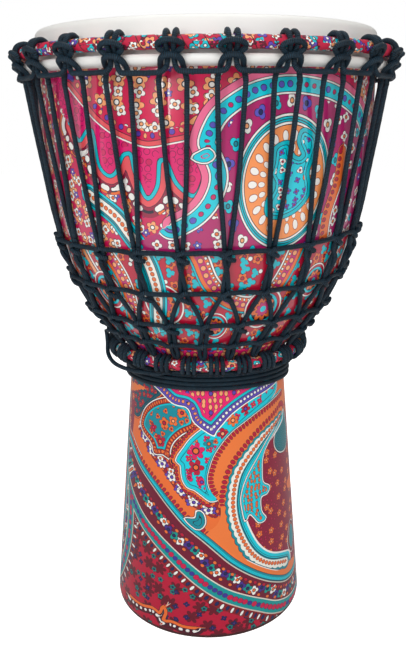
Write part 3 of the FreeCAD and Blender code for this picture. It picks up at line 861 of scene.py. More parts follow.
# %% The stem's guide curves
stem_print.guide("sweep", [(-123, 330), (-123, 270), (-122, 222), (-116, 205), (-103, 199), (-81, 184),
                           (-56, 167),
                           (-35, 148), (-19, 132), (-1, 117), (12, 104), (25, 90), (37, 79), (53, 66),
                           (72, 53),
                           (94, 42), (116, 42), (136, 58), (155, 84), (162, 122), (161, 165), (158, 200),
                           (156, 250),
                           (156, 330)])
stem_print.guide("flame", [(104, 252), (84, 249), (59, 243), (40, 235), (26, 227), (16, 217), (7, 204),
                           (2, 190),
                           (0, 178), (3, 166), (9, 157), (12, 148), (12, 139), (9, 130), (3, 124)])
stem_print.guide("ribbon", [(-124, 178), (-106, 153), (-86, 135), (-68, 121), (-53, 111), (-35, 98),
                            (-17, 83), (-1, 69),
                            (17, 55), (35, 44), (55, 32), (74, 20), (100, 12), (130, 14), (154, 32),
                            (171, 64),
                            (178, 100), (176, 136), (167, 164), (159, 178)])
stem_print.guide("beads", [(101, 228), (67, 216), (47, 202), (32, 184), (26, 164), (25, 143), (30, 119),
                           (43, 91),
                           (62, 72), (92, 58)])
stem_print.guide("vee", [(-100, 282), (-86, 279), (-58, 268), (-39, 257), (-24, 255), (-19, 250),
                         (-14, 239), (5, 226),
                         (7, 228), (12, 234), (27, 248), (51, 259), (89, 266), (130, 274)])
stem_print.guide("leaf_b", [(-8, 231), (-19, 221), (-26, 211), (-32, 202), (-34, 195), (-29, 193),
                            (-28, 185),
                            (-26, 176), (-21, 169), (-14, 167), (-6, 161), (2, 155), (10, 157), (4, 164),
                            (1, 175),
                            (2, 187), (6, 200), (14, 211), (26, 224), (40, 236), (61, 246), (90, 256),
                            (90, 268),
                            (34, 263), (10, 250), (4, 238)], True)
stem_print.guide("leaf_a", [(-51, 260), (-66, 253), (-79, 241), (-85, 226), (-81, 218), (-73, 213),
                            (-65, 208),
                            (-61, 198), (-50, 200), (-41, 197), (-41, 206), (-37, 216), (-27, 226),
                            (-12, 236),
                            (-18, 256), (-37, 262)], True)
stem_print.guide("leaf_d", [(-103, 229), (-120, 241), (-122, 257), (-106, 272), (-81, 279), (-54, 266),
                            (-61, 258),
                            (-80, 242), (-89, 230)], True)
stem_print.guide("leaf_c", [(112, 232), (94, 222), (71, 206), (62, 193), (60, 177), (61, 165), (70, 158),
                            (66, 151),
                            (57, 150), (57, 134), (63, 124), (54, 122), (47, 131), (42, 136), (38, 128),
                            (35, 140),
                            (34, 157), (41, 176), (54, 193), (73, 212), (99, 226)], True)
stem_print.guide("curl", [(108, 232), (93, 220), (83, 208), (83, 197), (93, 188), (109, 186), (119, 196),
                          (118, 212)],
                 True)
stem_print.guide("almond", [(111, 93), (104, 82), (104, 72), (110, 64), (118, 72), (118, 84)], True)
stem_print.guide("beak", [(-24, 135), (-13, 136), (-12, 144), (-6, 143), (-3, 134), (-5, 127), (-12, 124)],
                 True)
stem_print.guide("scroll", [(-90, 17), (-71, 18), (-56, 22), (-48, 19), (-45, 29), (-41, 23), (-44, 12),
                            (-35, 14),
                            (-24, 11), (-12, 11)])
stem_print.guide("posies", [(-100, 232), (-90, 224), (-76, 212), (-60, 197), (-46, 187), (-32, 171),
                            (-21, 158),
                            (-6, 150), (6, 142)])

# %% The bowl's guide curves
bowl_print.guide("lobes", [(-121, 528), (-110, 514), (-96, 524), (-92, 496), (-82, 486), (-73, 490),
                           (-66, 503),
                           (-61, 505), (-58, 489), (-49, 468), (-38, 479), (-34, 502), (-25, 482),
                           (-12, 471),
                           (-5, 476), (0, 493), (-2, 504), (-10, 516)])
bowl_print.guide("swag", [(-120, 559), (-102, 543), (-92, 533), (-76, 522), (-60, 515), (-45, 511),
                          (-27, 514),
                          (-11, 518), (-3, 526)])
bowl_print.guide("chain", [(-106, 470), (-81, 454), (-70, 440), (-60, 425), (-52, 405), (-50, 380),
                           (-58, 350)])
bowl_print.guide("arch", [(160, 530), (144, 544), (111, 559), (82, 565), (59, 566), (37, 562), (21, 554),
                          (6, 542),
                          (-2, 529), (-6, 515), (-2, 504), (3, 488), (-2, 471), (-13, 458), (-30, 448)])
bowl_print.guide("core", [(52, 512), (65, 516), (69, 505), (77, 503), (71, 515), (75, 526), (86, 522),
                          (91, 514),
                          (89, 502), (85, 490), (88, 480), (88, 469), (79, 458), (67, 452), (57, 451),
                          (48, 455),
                          (47, 467), (52, 480), (48, 488), (50, 498)], True)
bowl_print.guide("fleuron", [(-6, 508), (1, 511), (6, 505), (1, 500), (-6, 500), (-12, 504)], True)
bowl_print.guide("ember", [(123, 505), (122, 480), (118, 466), (114, 448), (118, 423), (130, 400)])
bowl_print.guide("swirl", [(-120, 440), (-100, 420), (-86, 396), (-84, 372), (-92, 350)])
bowl_print.guide("river", [(-40, 452), (-22, 440), (-8, 420), (2, 396), (20, 378), (44, 372), (64, 382),
                           (76, 402),
                           (84, 424)])

# %% [markdown]
# ## The printer's inks
# The prints are laid down one ink after another, as on a block-printing table: the ground first,
# then the big shapes, their rims, the small flowers and last the fine dark line round each shape.

# %% Small printed motifs
class Cloth(Ink):
    """An ink tree with the motifs that the two prints share."""

    def __init__(self, name):
        super().__init__(name)
        self.uv = self.node("UVMap", {"uv_map": "cloth"}).outputs[0]

    def scattered(self, spacing, looseness=0.55, shift=0.0):
        """Local place (x, y) from the nearest of a loose field of centres, and a random number."""
        moved = self.node("VectorMath", {"operation": "ADD"}, _0=self.uv,
                          _1=(shift, shift * 1.7, 0)).outputs[0]
        cells = self.node("TexVoronoi", {"voronoi_dimensions": "2D"}, Vector=moved, Scale=1 / spacing,
                          Randomness=looseness)
        away = self.node("VectorMath", {"operation": "SUBTRACT"}, _0=moved, _1=cells.outputs["Position"])
        split = self.node("SeparateXYZ", None, _0=away.outputs[0])
        chance = self.node("SeparateColor", None, _0=cells.outputs["Color"])
        return Val(self, split.outputs[0]), Val(self, split.outputs[1]), Val(self, chance.outputs[0])

    def rows(self, guide, centre, pitch):
        """Local place from the nearest of a row of centres beside a guide curve, and a number that
        changes from one centre to the next."""
        along, away = self.field(guide + "_s"), self.field(guide + "_d") - centre
        number = self.math("ROUND", along / pitch)
        chance = self.math("FRACT", self.math("SINE", number * 12.9898) * 43.7)
        far = self.field(guide + "_n") > abs(centre) + 8.0
        return along - number * pitch, away + far * 99.0, chance

    def petals(self, x, y, count, size, notch=0.45, turn=0.0):
        """Mask of a flower: r < size (1 - notch + notch |cos(count angle / 2)|)."""
        angle = self.math("ARCTAN2", y, x) + turn
        wave = abs(self.math("COSINE", angle * (count / 2)))
        return self.length(x, y) < (wave * notch + (1 - notch)) * size

    def bloom(self, where, place, size, count, petal, heart, edge=LINE):
        """A flower with a dark line round it, petals and a heart, kept to a region."""
        x, y, chance = place
        turn = chance * 6.0
        self.paint(self.petals(x, y, count, size + 0.55, turn=turn) * where, edge)
        self.paint(self.petals(x, y, count, size, turn=turn) * where, petal)
        self.paint((self.length(x, y) < size * 0.42) * where, edge)
        self.paint((self.length(x, y) < size * 0.28) * where, heart)

    def dot(self, where, place, size, colour, edge=LINE):
        """A round bead with a dark line round it."""
        x, y = place[0], place[1]
        self.paint((self.length(x, y) < size + 0.5) * where, edge)
        self.paint((self.length(x, y) < size) * where, colour)

    def drop(self, where, place, long, wide, colour, edge=LINE):
        """A petal lying across its row: an ellipse with a dark line round it."""
        x, y = place[0], place[1]
        self.paint((self.length(x / (wide + 0.5), y / (long + 0.5)) < 1) * where, edge)
        self.paint((self.length(x / wide, y / long) < 1) * where, colour)

    def stripe(self, guide, low, high, colour, where=1.0):
        """A band between two distances from a guide curve."""
        self.stripes(guide, [low, high], [colour], where)

    def stripes(self, guide, edges, colours, where=1.0):
        """Neighbouring bands from a list of edges, kept to where the curve itself is near."""
        near = (self.field(guide + "_n") < max(abs(edge) for edge in edges) + 1.0) * where
        for low, high, colour in zip(edges, edges[1:], colours):
            inside = self.band(self.field(guide + "_d"), min(low, high), max(low, high))
            self.paint(inside * near, colour)


def from_middle(cloth, u, z, spread, wide=1.0, tall=1.0):
    """Local place from a centre that repeats each half turn, scaled to an ellipse."""
    half_turn = math.pi * spread
    split = cloth.node("SeparateXYZ", None, _0=cloth.uv)
    x = cloth.math("FLOORED_MODULO", Val(cloth, split.outputs[0]) - (u - half_turn / 2),
                   half_turn) - half_turn / 2
    return x / wide, (Val(cloth, split.outputs[1]) - z) / tall


BRIGHT_CYAN, NAVY = ink(0, 205, 222), ink(24, 34, 92)
RUST = ink(170, 40, 30)

# %% The stem's print above the sweep
def placed_blooms(cloth, mask, rows):
    """Single blooms at traced places: (mm round, mm up, size, petals, petal colour, heart colour)."""
    for u, z, size, count, petal, heart in rows:
        cloth.bloom(mask, (*from_middle(cloth, u, z, STEM_SPREAD), u * 0.1), size, count, petal, heart)


def finish_stem(cloth):
    """Gives the print its fine weave and its sheen, and adds the material to the stem's cloth."""
    weave = cloth.node("TexNoise", None, Vector=cloth.node("TexCoord").outputs["Object"], Scale=400.0,
                       Detail=2.0)
    cloth.bump(weave.outputs[0], 0.08, 0.0003)
    varnish = {"Specular_IOR_Level": 0.3, "Coat_Weight": 0.12, "Coat_Roughness": 0.14}
    stem_cloth.data.materials.append(cloth.finish(0.45, **varnish))


stem = Cloth("stem_print")
sweep, beads, flame, vee = (stem.field(name + "_d") for name in ("sweep", "beads", "flame", "vee"))
leaf_a, leaf_b, leaf_c = (stem.field(name + "_d") for name in ("leaf_a", "leaf_b", "leaf_c"))
stem.start(ORANGE)

# the orange field above the sweep, with crimson teeth
above = sweep > 0.0
place = stem.rows("sweep", 1.8, 5.2)
stem.drop(above, place, 2.6, 1.4, CRIMSON)

# a crimson ground behind the leaves, with posies of white and violet
posies = stem.field("posies_d")
behind = above * (posies > -5.5) * (flame < 0.0)
stem.paint(behind, LINE)
stem.paint(above * (posies > -5.0) * (flame < -0.5), ink(160, 26, 40))
place = stem.scattered(6.0, 0.6, 9.0)
stem.drop(behind, place, 2.0, 1.4, ORANGE)
by_posies = above * (flame < 0.0) * (stem.field("posies_n") < 12.0)
for shift, away, size, count, petal, heart in (
        (0.0, 1.5, 4.6, 4, VIOLET, CRIMSON), (5.6, -2.4, 4.6, 5, VIOLET, WHITE),
        (2.4, -0.6, 5.0, 5, WHITE, VIOLET),
        (7.6, 2.6, 3.8, 4, WHITE, ORANGE)):
    number = stem.math("ROUND", (stem.field("posies_s") + shift) / 17.0)
    across = stem.field("posies_d") - away
    stem.bloom(by_posies, (stem.field("posies_s") + shift - number * 17.0, across, number * 0.37), size,
               count, petal, heart)


def leaf(cloth, guide, body, rim, inner, where=1.0):
    """A leaf shape: white rim, dark line, a bright edge, and a body."""
    cloth.stripes(guide, [-1.7, -1.1, 0.0], [LINE, rim], where)
    cloth.paint((cloth.field(guide + "_d") > 0.0) * where, LINE)
    cloth.paint((cloth.field(guide + "_d") > 0.5) * where, body)
    cloth.stripe(guide, 3.2, 3.7, inner, where)


def sweep_bands(cloth):
    """The teal band along the sweep, hatched along its middle, with a pale line under it."""
    cloth.stripes("sweep", [0.0, -0.6, -2.6, -5.4, -7.0, -8.2],
                  [LINE, TEAL, BRIGHT_CYAN, DEEP_TEAL, ink(214, 206, 190)])
    hatch = cloth.cell(cloth.field("sweep_s"), 1.5) < 0.2
    cloth.paint(cloth.band(cloth.field("sweep_d"), -5.4, -2.6) * hatch, TEAL)


leaf(stem, "leaf_d", DEEP_TEAL, ORANGE, LINE)
place = stem.scattered(7.4, 0.6, 33.0)
stem.bloom(stem.field("leaf_d_d") > 4.2, place, 3.0, 5, CRIMSON, ORANGE)

# leaf A: an orange rim with crimson blocks round a teal body
leaf(stem, "leaf_a", TEAL, WHITE, LINE)
rim = stem.band(leaf_a, 0.5, 5.4)
stem.paint(rim, RUST)
place = stem.rows("leaf_a", 2.9, 3.6)
stem.drop(rim, place, 1.9, 1.1, ORANGE, MAROON)
stem.stripe("leaf_a", 5.4, 6.0, LINE)
stem.stripe("leaf_a", 6.0, 7.6, CYAN)
inside = leaf_a > 8.2
place = stem.scattered(9.4, 0.55, 5.0)
stem.bloom(inside * (place[2] > 0.3), place, 3.0, 3, ORANGE, CRIMSON)
placed_blooms(stem, inside, (
        (-53.5, 213.0, 7.2, 5, CRIMSON, ORANGE), (-63.5, 226.0, 4.6, 4, CRIMSON, PINK),
        (-49.0, 234.0, 6.2, 5, ORANGE, CRIMSON),
        (-38.0, 238.0, 5.6, 4, ORANGE, PEACH), (-28.0, 248.0, 5.6, 4, ORANGE, CRIMSON)))

# leaf B with the arc of orange and crimson blocks beside it
arc = stem.band(leaf_b, -7.0, -1.7) * (flame < -9.0) * (posies > 1.0)
stem.paint(stem.band(leaf_b, -7.6, -1.7) * (flame < -9.0) * (posies > 1.0), LINE)
stem.paint(arc, ORANGE)
place = stem.rows("leaf_b", -5.2, 3.8)
stem.drop(arc, place, 1.4, 1.3, CRIMSON)
leaf(stem, "leaf_b", BRIGHT_CYAN, WHITE, CYAN)
inside = leaf_b > 5.0
stem.stripe("leaf_b", 4.0, 4.7, DEEP_TEAL)
place = stem.scattered(10.5, 0.5, 14.0)
stem.bloom(inside * (place[2] > 0.3), place, 3.6, 4, PINK, ORANGE)
stem.bloom(inside * (place[2] < 0.3), place, 3.0, 3, ORANGE, CRIMSON)
placed_blooms(stem, inside, (
        (-12.7, 209.0, 9.4, 6, PINK, ORANGE), (-12.5, 191.5, 8.2, 5, CRIMSON, ORANGE),
        (-19.5, 180.0, 4.4, 3, PINK, CRIMSON),
        (-6.5, 176.0, 5.0, 3, PINK, VIOLET), (1.0, 217.0, 5.4, 5, TEAL, ORANGE),
        (15.5, 227.0, 6.0, 4, CRIMSON, PEACH),
        (27.0, 240.0, 6.4, 6, ORANGE, PEACH), (42.0, 250.0, 5.6, 5, CRIMSON, VIOLET)))

# the flame: an orange band with crimson teeth on both edges
stem.stripes("flame", [-3.4, -2.0, -1.3, -0.6, 0.0], [CYAN, LINE, WHITE, LINE],
             above * (stem.field("flame_s") < 150.0))
on_flame = (flame > 0.0) * (beads < -4.0) * above
stem.paint(on_flame, ink(242, 124, 58))
teeth = stem.rows("flame", 2.4, 4.6)
stem.drop(on_flame * (stem.field("flame_s") < 160.0), teeth, 2.6, 1.5, CRIMSON, ink(84, 10, 40))
teeth = stem.rows("beads", -11.4, 4.6)
stem.drop(on_flame * (stem.field("beads_s") < 120.0), teeth, 2.6, 1.5, CRIMSON, ink(84, 10, 40))

# right of the beads: a maroon field with small orange flowers
beyond = (beads > 4.0) * (sweep > 6.0) * (stem.field("beads_n") < 80.0)
stem.paint(beyond, ink(142, 14, 52))
place = stem.scattered(5.0, 0.9, 2.0)
stem.dot(beyond * (place[2] > 0.5), place, 1.2, ink(176, 20, 70), ink(104, 8, 40))
place = stem.scattered(15.0, 0.7, 27.0)
stem.bloom(beyond, place, 4.0, 5, ORANGE, PEACH, ink(104, 8, 40))
leaf(stem, "curl", ink(0, 112, 122), WHITE, DEEP_TEAL, beyond)
stem.dot(beyond * (stem.field("curl_d") > 2.0), stem.scattered(4.0, 0.3), 0.9, DEEP_TEAL, TEAL)
stem.stripes("almond", [-5.0, -4.2, -1.0, -0.4, 3.0], [WHITE, MAROON, ORANGE, LINE], beyond)
stem.paint((stem.field("almond_d") > 0.0) * beyond, TEAL)

# the bead chain: white with a scalloped teal edge, orange beads, and a cyan leaf beside it
scallop = abs(stem.math("SINE", stem.field("beads_s") * 0.36)) * 1.5
width = stem.math("MINIMUM", stem.field("beads_s") * 0.06 + 0.8, 3.9)
left_edge = (scallop + width) * -1
in_chain = (beads > left_edge) * (beads < width) * (stem.field("beads_n") < 6.0)
by_chain = (sweep > 6.0) * (stem.field("beads_n") < 14.0)
framed = (beads > left_edge - 2.6) * (beads < width + 8.0) * by_chain
stem.paint((beads > left_edge - 3.1) * (beads < 0.0) * by_chain, LINE)
stem.paint(framed, TEAL)
stem.paint((beads > width + 0.5) * framed, BRIGHT_CYAN)
stem.paint(stem.band(beads - width, 3.0, 3.5) * framed, LINE)
stem.paint(stem.band(beads - width, 6.8, 8.6) * by_chain, WHITE)
stem.paint(stem.band(beads - width, 0.6, 2.0) * framed, DEEP_TEAL)
stem.paint(in_chain, ink(244, 242, 230))
stem.dot(in_chain, stem.rows("beads", 0.2, 4.7), 1.75, ORANGE, ink(140, 40, 10))
leaf(stem, "leaf_c", BRIGHT_CYAN, WHITE, TEAL, beads > 3.0)
stem.drop((leaf_c > 2.5) * (beads > 5.0), stem.scattered(4.8, 0.5, 8.0), 1.9, 1.2, ORANGE)

stem.stripes("sweep", [6.0, 5.2, 4.4], [DEEP_TEAL, WHITE], (beads > -8.0))
sweep_bands(stem)
leaf(stem, "beak", TEAL, WHITE, LINE)

# the vee at the top: violet with beads, a cyan line and a pink field with peach leaves
high = Val(stem, stem.node("SeparateXYZ", None, _0=stem.uv).outputs[1]) > 224.0
top = (vee > 0.0) * high
stem.stripes("vee", [-1.2, 0.0, 0.6], [ink(246, 244, 238), LINE])
stem.paint((vee > 0.6) * high, ink(96, 74, 178))
right_limb = (stem.field("vee_s") > 108.0) * top
place = stem.rows("vee", 4.6, 4.6)
stem.drop(top * (stem.field("vee_s") < 108.0), place, 1.7, 1.2, ink(246, 150, 96))
stem.dot(right_limb, place, 1.4, WHITE)
stem.stripes("vee", [7.6, 8.3, 10.8, 11.3], [LINE, CYAN, LINE])
stem.paint((vee > 11.3) * high, ink(232, 22, 108))
place = stem.scattered(6.4, 0.4, 12.0)
stem.drop((vee > 14.0) * high, place, 2.6, 1.8, PEACH)
stem.dot((vee > 14.0) * high * (place[2] > 0.8), place, 1.9, VIOLET)
finish_stem(stem)

# %% The stem's print below the sweep
hem = Cloth("stem_hem_print")
sweep = hem.field("sweep_d")
hem.start(CRIMSON)

# below the sweep: a crimson field with dark sprays
below = (sweep < -36.0) * (hem.field("ribbon_d") < -14.0)
place = hem.scattered(17.0, 0.8, 3.0)
hem.paint(hem.petals(*place[:2], 6, 7.6, 0.5) * below, MAROON)
place_small = hem.scattered(11.0, 0.9, 21.0)
hem.bloom(below * (place_small[2] > 0.55), place_small, 3.0, 5, ink(0, 128, 120), NAVY)
hem.bloom(below * (place_small[2] < 0.3), place_small, 2.8, 4, NAVY, ink(90, 40, 130))
scroll = hem.field("scroll_d")
near_scroll = below * (hem.field("scroll_n") < 9.0)
hem.paint(hem.band(scroll, -8.0, 0.0) * near_scroll, ink(84, 14, 34))
hem.dot(hem.band(scroll, -8.0, 0.0) * near_scroll, hem.rows("scroll", -4.0, 6.0), 1.6, WHITE)
hem.paint(hem.band(scroll, -2.2, 2.2) * near_scroll, LINE)
hem.paint(hem.band(scroll, -1.6, 1.6) * near_scroll, ORANGE)

# the sweep's bands, a row of blossoms, a beaded band and a fringe
sweep_bands(hem)
ribbon = hem.field("ribbon_d")
petal_row = (sweep < -8.2) * (ribbon > 0.0)
hem.paint(petal_row, ink(112, 10, 44))
middle = (sweep + 8.2 + ribbon) * 0.5
for shift, colour, heart in ((0.0, WHITE, ORANGE), (8.0, ink(0, 150, 140), NAVY),
                             (16.0, ink(70, 44, 140), NAVY)):
    along = hem.field("ribbon_s") + shift
    number = hem.math("ROUND", along / 24.0)
    tilt = hem.math("SINE", number * 3.0) * 2.4
    hem.bloom(petal_row, (along - number * 24.0, middle + tilt, number * 0.37), 5.0, 4, colour, heart)
for shift, away, colour in ((4.0, 5.6, ORANGE), (15.0, -5.8, CRIMSON), (9.0, -5.0, ORANGE)):
    along = hem.field("ribbon_s") + shift
    number = hem.math("ROUND", along / 12.0)
    hem.drop(petal_row, (along - number * 12.0, middle + away), 1.5, 1.9, colour)
hem.stripes("ribbon", [1.3, 0.0, -12.6, -13.8], [ink(226, 218, 204), ink(0, 150, 150), ink(214, 200, 186)],
            sweep < -9.0)
lower_band = sweep < -9.0
place = hem.rows("ribbon", -6.4, 5.6)
hem.dot((place[2] > 0.5) * lower_band, place, 2.7, ink(202, 14, 70), NAVY)
hem.dot((place[2] < 0.5) * lower_band, place, 2.2, ink(58, 50, 150), ink(70, 20, 90))
dashes = hem.band(ribbon, -22.0, -13.8) * lower_band * (hem.field("ribbon_n") < 24.0)
hem.paint(dashes, ink(134, 22, 32))
hem.drop(dashes, hem.rows("ribbon", -18.0, 5.4), 2.4, 1.2, NAVY)
place = hem.rows("ribbon", -18.6, 10.8)
hem.drop(hem.band(ribbon, -25.0, -14.0) * lower_band, place, 3.0, 1.2, WHITE)
finish_stem(hem)
level = np.empty(len(stem_cloth.data.vertices), np.float32)
stem_cloth.data.attributes["sweep_d"].data.foreach_get("value", level)
corners = np.empty(len(stem_cloth.data.loops), np.int32)
stem_cloth.data.loops.foreach_get("vertex_index", corners)
under_sweep = (level[corners].reshape(-1, 4) < -3.5).all(1)
stem_cloth.data.polygons.foreach_set("material_index", under_sweep.astype(np.int32))
print("faces below the sweep", int(under_sweep.sum()))

# %% The bowl's print
bowl = Cloth("bowl_print")
lobes, swag, arch = (bowl.field(name + "_d") for name in ("lobes", "swag", "arch"))
height = Val(bowl, bowl.node("SeparateXYZ", None, _0=bowl.uv).outputs[1])
bowl.start(ink(208, 18, 84))
place = bowl.scattered(14.0, 0.6, 4.0)
bowl.bloom(1.0, place, 5.4, 5, PEACH, WHITE)
place = bowl.scattered(12.0, 0.8, 17.0)
bowl.bloom(place[2] > 0.35, place, 4.2, 4, WHITE, ORANGE)
bowl.bloom(place[2] < 0.2, place, 3.4, 5, VIOLET, WHITE)

# the slanting white band with its orange chain
def chain_band(cloth):
    """A white band with an orange bead chain between teal and cyan lines."""
    cloth.stripes("chain", [-10.0, -9.4, -7.4, -6.8, -5.2, -4.6, 4.6, 5.2, 6.8, 7.4, 9.4, 10.0],
                  [LINE, CYAN, LINE, TEAL, LINE, ink(244, 242, 232), LINE, TEAL, LINE, BRIGHT_CYAN, LINE])
    cloth.dot(1.0, cloth.rows("chain", 0.0, 5.0), 1.7, ORANGE, ink(120, 40, 20))


chain_band(bowl)

# hanging lobes: pink with a lattice of small rings, a cyan line and a salmon edge
swagged = swag < 0.0
near_lobes = bowl.band(lobes, -14.5, 0.0) * swagged * (arch < -2.0)
bowl.paint(bowl.band(lobes, -14.5, -5.6) * near_lobes, ink(150, 16, 60))
bowl.dot(near_lobes, bowl.rows("lobes", -9.6, 6.4), 2.5, WHITE)
bowl.dot(near_lobes, (bowl.rows("lobes", -12.6, 5.1)[0], lobes + 13.2), 1.2, ORANGE)
bowl.stripes("lobes", [-5.6, -5.1, -0.5, 0.0, 2.9, 3.5], [LINE, SALMON, LINE, CYAN, LINE],
             swagged * (arch < -2.0))
pinks = (lobes > 3.5) * swagged * (arch < -2.0)
bowl.paint(pinks, ink(226, 24, 112))
x, y, chance = bowl.scattered(6.6, 0.35, 40.0)
ring = bowl.band(bowl.length(x, y), 2.3, 2.75)
bowl.paint(ring * (lobes > 7.0) * pinks, ink(118, 10, 64))
bowl.paint((bowl.length(x, y) < 2.3) * (chance > 0.55) * (lobes > 7.0) * pinks, ink(206, 20, 92))

# the swag above the lobes
over = (swag > 0.0) * (arch < -2.0)
bowl.stripes("swag", [0.0, 1.2, 1.7, 5.2, 5.8], [WHITE, LINE, SALMON, LINE], arch < -2.0)
bowl.paint((swag > 5.8) * over, ink(214, 14, 78))
x, y, chance = bowl.rows("swag", 9.6, 8.0)
bowl.dot(over, (x, y), 1.9, PEACH)
bowl.dot(over, (bowl.rows("swag", 9.6, 16.0)[0], y), 2.0, VIOLET)
place = bowl.scattered(17.0, 0.5, 2.0)
bowl.bloom((swag > 13.0) * over, place, 6.6, 5, PEACH, WHITE)
place = bowl.scattered(14.0, 0.6, 71.0)
bowl.bloom((swag > 12.0) * over * (place[2] > 0.4), place, 4.6, 4, WHITE, PEACH)
bowl.bloom((swag > 12.0) * over * (place[2] < 0.2), place, 2.8, 5, VIOLET, WHITE)

# the great arch: salmon and white lines round a cyan band with violet beads
bowl.stripes("arch", [-7.6, -7.0, -1.9, -1.4, 0.0, 0.5], [LINE, ink(240, 110, 150), LINE, WHITE, LINE])
in_arch = arch > 0.5
bowl.paint(in_arch * (height > 400.0), ink(178, 26, 104))
bowl.stripe("arch", 0.5, 11.4, BRIGHT_CYAN)
place = bowl.rows("arch", 5.8, 7.6)
bowl.dot(bowl.band(arch, 0.5, 11.4) * (place[2] > 0.5), place, 2.3, ink(90, 84, 190))
bowl.dot(bowl.band(arch, 0.5, 11.4) * (place[2] < 0.5), place, 1.7, ink(200, 24, 96))
bowl.stripes("arch", [11.4, 12.0, 13.4, 13.9], [LINE, WHITE, LINE])

# trefoils between the arch and the disc
x, y = from_middle(bowl, 65.0, 481.0, BOWL_SPREAD, 37.0, 49.0)
level = bowl.length(x, y)
around_disc = bowl.math("ARCTAN2", y, x)
number = bowl.math("ROUND", around_disc * (24 / 6.2832))
chance = bowl.math("FRACT", number / 3.0 + 0.05)
local = ((around_disc - number * (6.2832 / 24)) * 58.0, (level - 1.36) * 43.0)
trefoils = bowl.band(level, 1.14, 1.6) * (arch > 14.0)
spot = (local[0], local[1], number * 1.3)
place = bowl.scattered(13.0, 0.6, 63.0)
under = (arch > 14.5) * (level > 1.62) * (height > 400.0)
bowl.bloom(under * (place[2] > 0.5), place, 4.6, 4, WHITE, ORANGE)
bowl.bloom(under * (place[2] < 0.3), place, 4.2, 3, BRIGHT_CYAN, TEAL)
bowl.bloom(under * bowl.band(place[2], 0.3, 0.5), place, 3.6, 5, ink(92, 84, 190), WHITE)
bowl.bloom(trefoils * (chance < 0.3), spot, 5.4, 3, WHITE, PEACH)
bowl.bloom(trefoils * bowl.band(chance, 0.3, 0.6), spot, 5.2, 3, BRIGHT_CYAN, TEAL)
bowl.bloom(trefoils * (chance > 0.6), spot, 5.2, 3, ink(92, 84, 190), NAVY)

# the disc
for reach, colour in ((1.17, LINE), (1.155, WHITE), (1.12, LINE), (1.105, CYAN), (1.075, LINE),
                      (1.06, CYAN),
                      (1.035, LINE), (1.02, WHITE), (0.985, LINE), (0.97, ink(250, 150, 84))):
    bowl.paint(level < reach, colour)
number = bowl.math("ROUND", around_disc * (22 / 6.2832))
local_x = (around_disc - number * (6.2832 / 22)) * 34.0
for centre, size in ((0.8, 4.0), (0.6, 3.0)):
    bowl.drop(level < 0.95, (local_x, (level - centre) * 43.0), size, 2.5, WHITE, ink(150, 60, 40))
core = bowl.field("core_d")
bowl.stripes("core", [-0.6, 0.0, 3.0, 3.6], [LINE, CYAN, LINE])
bowl.paint(core > 3.6, BRIGHT_CYAN)
bowl.stripe("core", 5.6, 6.2, DEEP_TEAL)
place = bowl.scattered(7.8, 0.6, 6.0)
bowl.bloom((core > 5.0) * (place[2] > 0.62), place, 2.9, 3, WHITE, CRIMSON)
bowl.bloom((core > 5.0) * bowl.band(place[2], 0.3, 0.62), place, 2.4, 4, ink(92, 84, 190), CRIMSON)
bowl.drop((core > 5.0) * (place[2] < 0.3), place, 2.2, 1.4, ORANGE)
leaf(bowl, "fleuron", BRIGHT_CYAN, WHITE, MAGENTA)

# an orange edge at the right of the disc
ember = bowl.field("ember_d")
bowl.stripes("ember", [-7.0, -6.4, 4.6, 5.2, 6.6, 7.1], [LINE, ORANGE, LINE, WHITE, LINE], height > 415.0)
bowl.drop(bowl.band(ember, -6.4, 4.6), bowl.rows("ember", -3.0, 6.0), 2.2, 1.6, CRIMSON)
ripple = bowl.node("TexNoise", None, Vector=bowl.node("TexCoord").outputs["Object"], Scale=14.0)
bowl.bump(ripple.outputs[0], 0.12, 0.002)
bowl_cloth.data.materials.append(bowl.finish(0.3, Coat_Weight=0.85, Coat_Roughness=0.05))

# %% The print of the bowl's foot, below the first woven row
foot = Cloth("bowl_foot_print")
foot.start(ink(188, 12, 52))
place = foot.scattered(13.0, 0.7, 11.0)
foot.bloom(place[2] > 0.3, place, 5.0, 5, ORANGE, CRIMSON)
place = foot.scattered(11.0, 0.8, 29.0)
foot.paint(foot.petals(*place[:2], 3, 5.4, 0.6) * (place[2] > 0.4), LINE)
foot.paint(foot.petals(*place[:2], 3, 4.8, 0.6) * (place[2] > 0.4), CYAN)
foot.dot(place[2] < 0.25, place, 1.9, WHITE)
for guide in ("swirl", "river"):
    foot.stripes(guide, [-9.5, -9.0, -7.4, -6.8, 6.8, 7.4, 9.0, 9.5],
                 [LINE, CYAN, LINE, ORANGE, LINE, WHITE, LINE])
    foot.stripe(guide, -3.4, 3.4, MAGENTA)
    foot.dot(1.0, foot.rows(guide, 0.0, 7.2), 2.2, PEACH)
    foot.dot(1.0, foot.rows(guide, 5.2, 5.0), 1.1, WHITE)
for u, z, scale in ((-45, 372, 1.0), (60, 366, 1.0), (118, 388, 0.8), (-112, 380, 0.9), (8, 350, 0.7)):
    x, y = from_middle(foot, u, z, BOWL_SPREAD, scale, scale)
    away = foot.length(x, y)
    for radius, colour in ((21.5, LINE), (21.0, WHITE), (19.4, CRIMSON), (16.4, LINE), (16.0, BRIGHT_CYAN),
                           (13.4, LINE)):
        foot.paint(away < radius, colour)
    foot.paint(foot.petals(x, y, 9, 13.0, 0.35), ORANGE)
    foot.paint(foot.petals(x, y, 9, 8.4, 0.3), LINE)
    foot.paint(foot.petals(x, y, 9, 7.8, 0.3), MAGENTA)
    foot.paint(away < 3.2, BRIGHT_CYAN)
chain_band(foot)
bowl_cloth.data.materials.append(foot.finish(0.3, Coat_Weight=0.85, Coat_Roughness=0.05))
heights = np.array([face.center.z for face in bowl_cloth.data.polygons]) / MM
bowl_cloth.data.polygons.foreach_set("material_index", (heights < 425.0).astype(np.int32))
